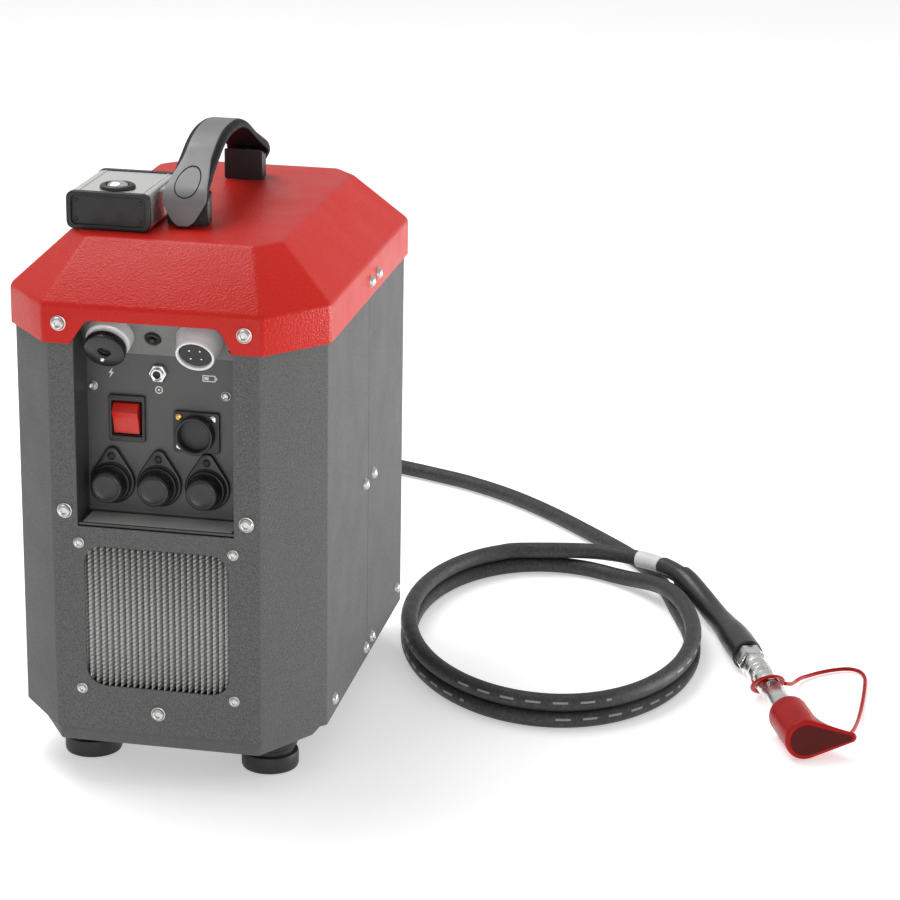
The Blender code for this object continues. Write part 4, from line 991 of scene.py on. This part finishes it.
def connectors():
    """The two round connectors on the leaning face: one capped, one with its pins bare."""
    base, out = leaning(0.027, 0.3084)
    here = facing(base, out)
    shell = mm(
        (0, 0.3), (15.4, 0.3), (15.6, 1), (15.4, 2.6), (13.2, 12), (12.8, 13.6), (12.8, 16), (12.4, 16.6),
        (11.5, 16.6), (10.9, 16), (10.9, 3), (0, 3))
    # painted sheen: the chrome shell is drawn in a bright white non-metal in place of its reflection
    piece(lathe("charge_shell", shell, here, 64), "chrome", "charge_connector", look="painted_sheen_white")
    insert = mm((0, 3.1), (10.6, 3.1), (10.6, 14.2), (10, 14.8), (0, 14.8))
    piece(lathe("charge_block", insert, here, 48), "black_plastic", "charge_insert")
    pin = mm((0, 14), (0.7, 14), (0.7, 15.2), (0.4, 15.5), (0, 15.6))
    for number in range(4):
        angle = math.radians(45 + 90 * number)
        x, y = 0.0050 * math.cos(angle), 0.0050 * math.sin(angle)
        piece(lathe(f"charge_pin_{number}", pin, here @ Matrix.Translation((x, y, 0)), 12), "chrome")

    base, out = leaning(-0.0325, 0.3084)
    here = facing(base, out)
    shell = mm(
        (0, 0.3), (15.4, 0.3), (15.6, 1), (15.4, 2.6), (14.6, 8), (13.6, 9), (12, 9.3), (12, 12), (0, 12))
    # painted sheen: the chrome shell is drawn in a bright white non-metal in place of its reflection
    piece(lathe("power_shell", shell, here, 64), "chrome", "power_connector", look="painted_sheen_white")
    cap = mm(
        (0, 15), (3.6, 15), (4, 15.4), (4, 17.8), (4.6, 18.4), (11.8, 18.4), (13.2, 17.8), (13.6, 16.8),
        (13.6, 12.4), (13.2, 11.6), (0, 11.6))
    piece(lathe("power_plug", cap, here, 64), "black_plastic", "power_cap", look="gloss_black")
    key = mm((0, 15), (1.6, 15), (1.6, 19), (1, 19.6), (0, 19.7))
    piece(lathe("power_key", key, here @ Matrix.Translation((-0.0020, -0.0062, 0)), 20), "chrome")


def small_fittings():
    """The lamp and the jack between the connectors."""
    base, out = leaning(-0.005, 0.306)
    here = facing(base, out)
    holder = mm((0, 0.3), (5.4, 0.3), (5.6, 0.8), (5, 2), (4.2, 2.4), (3.4, 2), (3, 1.4), (0, 1.4))
    piece(lathe("lamp_holder", holder, here), "black_plastic", "temperature_lamp")
    lens = mm((0, 1.4), (2.6, 1.4), (2.6, 2.6), (2, 3.6), (1, 4.1), (0, 4.2))
    piece(lathe("lamp_lens", lens, here, 32), "black_plastic", look="lamp")

    place = centre("signal_jack")
    here = facing((place.x, PANEL_Y, place.z), (0, -1, 0))
    nut = mm(
        (0, 0.3), (6.2, 0.3), (6.4, 0.8), (6.4, 2.2), (5.8, 2.8), (4.4, 2.9), (4.2, 3.4), (4.2, 4.8),
        (3.6, 5.3), (2.7, 5.1), (2.6, 1.2), (0, 1.2))
    piece(lathe("jack_nut", nut, here, 48, six_sided=(1, 2, 3, 4)), "chrome", "signal_jack")
    bore = mm((0, 1.2), (2.6, 1.2), (2.6, 2), (0, 2))
    piece(lathe("jack_bore", bore, here, 24), "black_plastic")


def switch():
    """The rocker switch: a framed red rocker with a hollowed face."""
    low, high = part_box("switch_bezel")
    outer = rounded_rectangle(low.x, high.x, low.z, high.z, 0.0016)
    inner = rounded_rectangle(low.x + 0.0021, high.x - 0.0021, low.z + 0.0039, high.z - 0.0039, 0.0006, 3)
    middle = (0, (low.y + high.y) / 2, 0)
    piece(plate("switch_frame", [outer, inner], high.y - low.y, "XZ", middle, 0.0004), "black_plastic",
          "switch_bezel")
    place = centre("switch_bezel")
    profile = mm(
        (1.2, 10.8), (4, 6.6), (4, -6.2), (1.2, -9.2), (-3.6, -9.5), (-4.2, -7), (-4.4, -3.5), (-4.8, 0),
        (-5.5, 3), (-6.5, 5.4), (-6.8, 6.4), (-6, 7.2), (-1.4, 10.8))
    made = plate("rocker_key", [profile], 0.0172, "YZ", edge=0.0004)
    tilt = Matrix.Rotation(math.radians(8.5), 4, "X")
    made.matrix_world = Matrix.Translation((place.x, PANEL_Y, place.z)) @ tilt @ PLANES["YZ"]
    piece(made, "switch_red", "switch_rocker", body="rocker")


def aux_socket():
    """The square-flanged socket, with its open collar and two clamping screws."""
    low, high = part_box("aux_socket")
    place = centre("aux_socket")
    outline = rounded_rectangle(low.x, high.x, low.z, high.z, 0.0022)
    middle = (0, PANEL_Y - 0.0014, 0)
    flange = plate("aux_flange", [outline], 0.0022, "XZ", middle, 0.0005)
    piece(flange, "black_plastic", "aux_socket")
    here = facing((place.x, PANEL_Y, place.z - 0.0010), (0, -1, 0))
    collar = mm(
        (0, 2.6), (12.6, 2.6), (12.8, 3), (12.8, 8.4), (12.2, 9.2), (11.2, 9.2), (10.5, 8.4), (10.5, 2.8),
        (0, 2.8))
    piece(lathe("aux_collar", collar, here, 64), "black_plastic")
    for number, (x, z, look) in enumerate(((low.x + 0.0040, high.z - 0.0038, "brass"),
                                           (high.x - 0.0040, high.z - 0.0038, "chrome"),
                                           (low.x + 0.0042, low.z + 0.0038, "chrome"))):
        head = mm((0, 0.6), (2.2, 0.6), (2.2, 1.4), (1.4, 1.9), (0.5, 2), (0, 1.4))
        spot = facing((x, PANEL_Y - 0.0020, z), (0, -1, 0))
        piece(lathe(f"aux_screw_{number}", head, spot, 24), "chrome", look=look)


def outlets():
    """Three drop-shaped sockets, each with a pull-off rubber cap and its screw."""
    for number in (1, 2, 3):
        low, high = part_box(f"outlet_socket_{number}")
        x = (low.x + high.x) / 2
        radius = (high.x - low.x) / 2
        z = low.z + radius
        tip = (x, high.z - 0.0050)
        outline = drop((x, z), radius, tip, 0.0050)
        middle = (0, PANEL_Y - 0.0018, 0)
        flange = plate(f"outlet_flange_{number}", [outline], 0.0030, "XZ", middle, 0.0009)
        piece(flange, "rubber", f"outlet_socket_{number}", look="gloss_black")
        here = facing((x, PANEL_Y, z), (0, -1, 0))
        boss = mm(
            (0, 3.2), (13.4, 3.2), (13.6, 3.6), (13.6, 4.2), (12.8, 4.8), (12.6, 5.2), (12.6, 7), (12, 7.3),
            (0, 7.3))
        piece(lathe(f"outlet_boss_{number}", boss, here, 56), "rubber")
        cap = mm(
            (0, 7.6), (11.2, 7.6), (11.8, 8), (11.9, 8.8), (11.2, 9.6), (11, 10.4), (11, 15), (10.6, 16.4),
            (9.6, 17.4), (8.6, 17.6), (8, 17.2), (7.6, 17), (3, 17), (0, 17))
        made = lathe(f"outlet_lid_{number}", cap, here, 56)
        piece(made, "rubber", f"outlet_cap_{number}", body=f"outlet_cap_{number}", look="gloss_black")
        screw(f"outlet_screw_{number}", (x, PANEL_Y - 0.0033, tip[1] - 0.0010), (0, -1, 0), 0.0026,
              "black_plastic")


def marks():
    """Plain printed signs beside the fittings, in place of words."""
    thickness = 0.00012
    upright = Matrix.Translation((0, PANEL_Y - thickness / 2 - 0.00005, 0)) @ PLANES["XZ"]

    def stamp(name, outlines):
        made = plate(name, outlines, thickness, matrix=upright)
        piece(made, "black_plastic", look="mark")

    bolt = mm((1, 3.4), (-1.8, -0.3), (-0.2, -0.3), (-1, -3.4), (1.8, 0.6), (0.2, 0.6))
    stamp("mark_power", [[(-0.036 + u, 0.2785 + v) for u, v in bolt]])
    x, z = 0.0300, 0.2790
    battery = rounded_rectangle(x - 0.0048, x + 0.0040, z - 0.0022, z + 0.0022, 0.0004, 2)
    hollow = rounded_rectangle(x - 0.0041, x + 0.0033, z - 0.0015, z + 0.0015, 0.0002, 2)
    stamp("mark_battery", [battery, hollow])
    level = rounded_rectangle(x - 0.0036, x - 0.0006, z - 0.0010, z + 0.0010, 0.0002, 2)
    stamp("mark_battery_level", [level])
    end = rounded_rectangle(x + 0.0042, x + 0.0050, z - 0.0009, z + 0.0009, 0.0002, 2)
    stamp("mark_battery_end", [end])
    x, z = -0.004, 0.2690
    stamp("mark_jack", [arc((x, z), 0.0026, 0, math.tau, 24)[:-1], arc((x, z), 0.0019, 0, math.tau, 24)[:-1]])
    stamp("mark_jack_dot", [arc((x, z), 0.0008, 0, math.tau, 16)[:-1]])
    for number, node in enumerate(("outlet_socket_1", "outlet_socket_2", "outlet_socket_3"), start=1):
        place = centre(node)
        for k in range(number):
            spot = (place.x + (k - (number - 1) / 2) * 0.0030, -0.1480, LEDGE_Z + 0.00011)
            made = plate(f"mark_outlet_{number}_{k}", [arc((0, 0), 0.0009, 0, math.tau, 14)[:-1]], thickness,
                         "XY", spot)
            piece(made, "black_plastic", look="mark")


# ---- handle and control box ---------------------------------------------------------------
def soften(points, reaches, steps=8):
    """Round the inner corners of a line. Each corner's curve starts and ends at its own reach."""
    line = [Vector(points[0])]
    for i, reach in enumerate(reaches, start=1):
        corner = Vector(points[i])
        start = corner + (Vector(points[i - 1]) - corner).normalized() * reach
        end = corner + (Vector(points[i + 1]) - corner).normalized() * reach
        for k in range(steps + 1):
            t = k / steps
            line.append(start.lerp(corner, t).lerp(corner.lerp(end, t), t))
    return line + [Vector(points[-1])]


def divided(outer, inner, step=0.0022):
    """Pairs of points on two lines with as many points each, with short steps on the outer one."""
    pairs = []
    for i in range(len(outer) - 1):
        parts = max(1, round((outer[i + 1] - outer[i]).length / step))
        for k in range(parts):
            pairs.append((outer[i].lerp(outer[i + 1], k / parts), inner[i].lerp(inner[i + 1], k / parts)))
    return pairs + [(outer[-1], inner[-1])]


def between(table, value):
    """Read a table of (position, size) pairs at a position."""
    for (low, a), (high, b) in zip(table, table[1:]):
        if value <= high:
            t = min(max((value - low) / (high - low), 0), 1)
            return a + (b - a) * t
    return table[-1][1]


LUG_WIDTHS = mm(
    (0, 3.8), (0.8, 5.6), (2.2, 7.2), (5, 9.2), (8.5, 11.4), (12.5, 13.7), (15, 14.8), (18, 15.1),
    (23, 14.8), (28, 13.9), (33, 13.2), (40, 13))
FLANKS = mm((0, 1), (22, 1.4), (38, 4.4))
STRIP_INSETS = mm((0, 0.2), (22, 0.3), (30, 1.2), (38, 3.4), (50, 3.8))


def band_section(half, depth, crown, edge=0.0010, steps=6):
    """A flat bar's section, wider rounded on its outer side, as (across, inward) pairs."""
    crown, edge = min(crown, half * 0.5, depth * 0.6), min(edge, half * 0.3)
    quarter = math.pi / 2
    return (arc((-half + crown, crown), crown, 2 * quarter, 3 * quarter, steps)
            + arc((half - crown, crown), crown, 3 * quarter, 4 * quarter, steps)
            + arc((half - edge, depth - edge), edge, 0, quarter, steps)
            + arc((-half + edge, depth - edge), edge, quarter, 2 * quarter, steps))


def band(name, pairs, foot, section):
    """Loft a bar along the pairs of outer and inner points, with a section that depends on the height."""
    rings = []
    for out, into in pairs:
        way = (into - out).normalized()
        shape = section(out.y - foot, (into - out).length)
        rings.append([(x, *(out + way * v)) for x, v in shape])
    return loft(name, rings, close_start=True, close_end=True, sharp=40)


def handle():
    """The arched black band, the grey strip along its outer face, and a round cover on each lug."""
    low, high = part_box("handle")
    outer = soften([(high.y, low.z), (0.0845, 0.3885), (0.0240, high.z), (0, high.z)], (0.0090, 0.0200))
    inner = soften([(high.y - 0.0068, low.z), (LUG_INSIDE, 0.3852), (0.0225, high.z - 0.0062),
                    (0, high.z - 0.0062)], (0.0030, 0.0180))
    pairs = divided(outer, inner)
    pairs += [(Vector((-a.x, a.y)), Vector((-b.x, b.y))) for a, b in reversed(pairs[:-1])]

    def core(rise, depth):
        shape = band_section(between(LUG_WIDTHS, rise), depth - 0.0004, between(FLANKS, rise))
        return [(x, v + 0.0004) for x, v in shape]

    def strip(rise, _):
        return band_section(between(LUG_WIDTHS, rise) - between(STRIP_INSETS, rise), 0.0022, 0.0007)

    made = band("carry_handle", pairs, low.z, core)
    relief = cutter("handle_relief", 0.0071, 2 * LUG_INSIDE, (0, 0, PIVOT_Z), (0, 1, 0))
    piece(combine(made, [relief]), "black_plastic", "handle", body="handle", look="matt_black")
    face = band("handle_strip", pairs, low.z, strip)
    for place, side in (("front", -1), ("rear", 1)):
        middle = (0, side * 0.0735, COVER_Z)
        disc = cutter(f"cover_disc_{place}", 0.0076, 0.038, middle, (0, 1, 0))
        cover = combine(keep(f"handle_cover_{place}", face.data.copy()), [disc], "INTERSECT")
        cover.location = (0, side * 0.0001, 0)
        piece(cover, "handle_plastic", body="handle")
        combine(face, [cutter(f"cover_groove_{place}", 0.0084, 0.038, middle, (0, 1, 0))])
        bracket(place, side)
    piece(face, "handle_plastic", body="handle")


def bracket(place, side):
    """A rubber block under the lug, its top sloped to clear the band as it swings."""
    low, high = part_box(f"handle_bracket_{place}")
    near, far = sorted((abs(low.y), abs(high.y)))
    profile = [(near, low.z), (far, low.z), (far, PIVOT_Z + 0.0002), (near, PIVOT_Z + 0.0052)]
    outline = [(side * y, z) for y, z in profile]
    made = plate(f"bracket_{place}", [outline], 2 * high.x - 0.0030, "YZ", edge=0.0016)
    piece(made, "rubber", f"handle_bracket_{place}")


def control_box():
    """The extruded box with its black end pieces and the domed start button."""
    low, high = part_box("control_box")
    outline = rounded_rectangle(low.x, high.x, low.z, high.z, 0.0036, 8)
    body = plate("box_extrusion", [outline], high.y - low.y, "XZ", (0, (low.y + high.y) / 2, 0))
    spot = centre("start_button")
    well = cutter("button_cut", 0.0084, 0.016, (spot.x, spot.y, high.z), (0, 0, 1))
    piece(combine(body, [well]), "aluminium", "control_box")
    for x in (low.x + 0.0060, high.x - 0.0060):
        rib = rounded_rectangle(-0.0008, 0.0008, 0, 0.0005, 0.0002, 2)
        made = plate("box_rib_left" if x < spot.x else "box_rib_right", [rib], high.y - low.y - 0.0004, "XZ",
                     (x, (low.y + high.y) / 2, high.z - 0.0001))
        piece(made, "aluminium")
    for place, side in (("front", -1), ("rear", 1)):
        low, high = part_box(f"box_bezel_{place}")
        outer = rounded_rectangle(low.x, high.x, low.z, high.z, 0.0056, 8)
        inner = rounded_rectangle(low.x + 0.0034, high.x - 0.0034, low.z + 0.0030, high.z - 0.0030, 0.0034, 6)
        middle = (0, (low.y + high.y) / 2, 0)
        frame_piece = plate(f"bezel_frame_{place}", [outer, inner], high.y - low.y, "XZ", middle, 0.0007)
        piece(frame_piece, "black_plastic", f"box_bezel_{place}", look="rubber")
        plate_y = (low.y + high.y) / 2 - side * 0.0009
        cover = plate(f"bezel_cover_{place}", [inner], 0.0026, "XZ", (0, plate_y, 0))
        piece(cover, "black_plastic", look="rubber")
        face = plate_y + side * 0.0013
        inset = 0.0062
        columns = (low.x + inset, high.x - inset)
        corners = [(x, z) for z in (low.z + inset, high.z - inset) for x in columns]
        for number, (x, z) in enumerate(corners):
            head = mm((0, -0.2), (1.4, -0.2), (1.4, 0.3), (0.9, 0.6), (0.4, 0.3), (0, 0.3))
            here = facing((x, face, z), (0, side, 0))
            piece(lathe(f"bezel_{place}_screw_{number}", head, here, 20), "black_plastic")

    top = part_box("control_box")[1].z
    here = facing((spot.x, spot.y, top), (0, 0, 1))
    ring = mm(
        (7.6, 0.3), (11.8, 0.3), (11.8, 1.2), (11.2, 2.2), (9.8, 2.8), (8.4, 2.6), (7.6, 1.8), (7.6, 0.3))
    piece(lathe("button_collar", ring, here, 64), "black_plastic", "button_ring")
    dome = mm((0, -3), (7.4, -3), (7.4, 1.2), (7, 2), (5.8, 3.1), (4.2, 4), (2.4, 4.6), (0, 4.8))
    piece(lathe("button_dome", dome, here, 64), "chrome", "start_button", body="button")


# ---- what stays from the CAD model --------------------------------------------------------
def dress_cad():
    """Give every CAD node that still shows the finished material of its slot."""
    slots = {part["node"]: part["material_slot"] for part in frame["record"]["subparts"]}
    for name, node in NODES.items():
        if not node.hide_render:
            node.data.materials.clear()
            node.data.materials.append(LOOKS[slots[name]])


# ---- studio -------------------------------------------------------------------------------
def area_light(name, place, target, size, watts):
    data = bpy.data.lights.new(name, "AREA")
    data.shape = "RECTANGLE"
    data.size, data.size_y = size
    data.energy = watts
    way = Vector(target) - Vector(place)
    keep(name, data, Matrix.Translation(place) @ way.to_track_quat("-Z", "Y").to_matrix().to_4x4())


def studio():
    floor = plate("floor", [[(-6, -6), (6, -6), (6, 6), (-6, 6)]], 0.02, "XY", (0, 0, -0.0105))
    pale = Shader("floor_paper", (0.86, 0.86, 0.86), 0.9, specular=0.1)
    pale.shader.inputs["Emission Color"].default_value = (1, 1, 1, 1)
    pale.shader.inputs["Emission Strength"].default_value = 0.42
    pale.gloss(pale.spread(pale.noise(6), 0.85, 0.95))
    floor.data.materials.append(pale.material)
    world = bpy.data.worlds.new("studio")
    bpy.context.scene.world = world
    world.use_nodes = True
    world.node_tree.nodes["Background"].inputs["Color"].default_value = (1, 1, 1, 1)
    world.node_tree.nodes["Background"].inputs["Strength"].default_value = 0.52
    middle = (0.1, 0.1, 0.15)
    area_light("key", (2.4, 1.0, 0.20), middle, (1.6, 0.34), 46)
    area_light("top", (-0.8, 0.5, 2.2), middle, (1.5, 1.5), 36)
    area_light("fill", (0.3, -2.6, 0.26), middle, (1.4, 0.4), 9)
    bpy.context.scene.view_settings.view_transform = "Standard"


add_camera()
build_hose()
casing()
lid()
feet()
screws()
air_filter()
panel()
painted_light_plates()
connectors()
small_fittings()
switch()
aux_socket()
outlets()
marks()
handle()
control_box()
dress_cad()
studio()
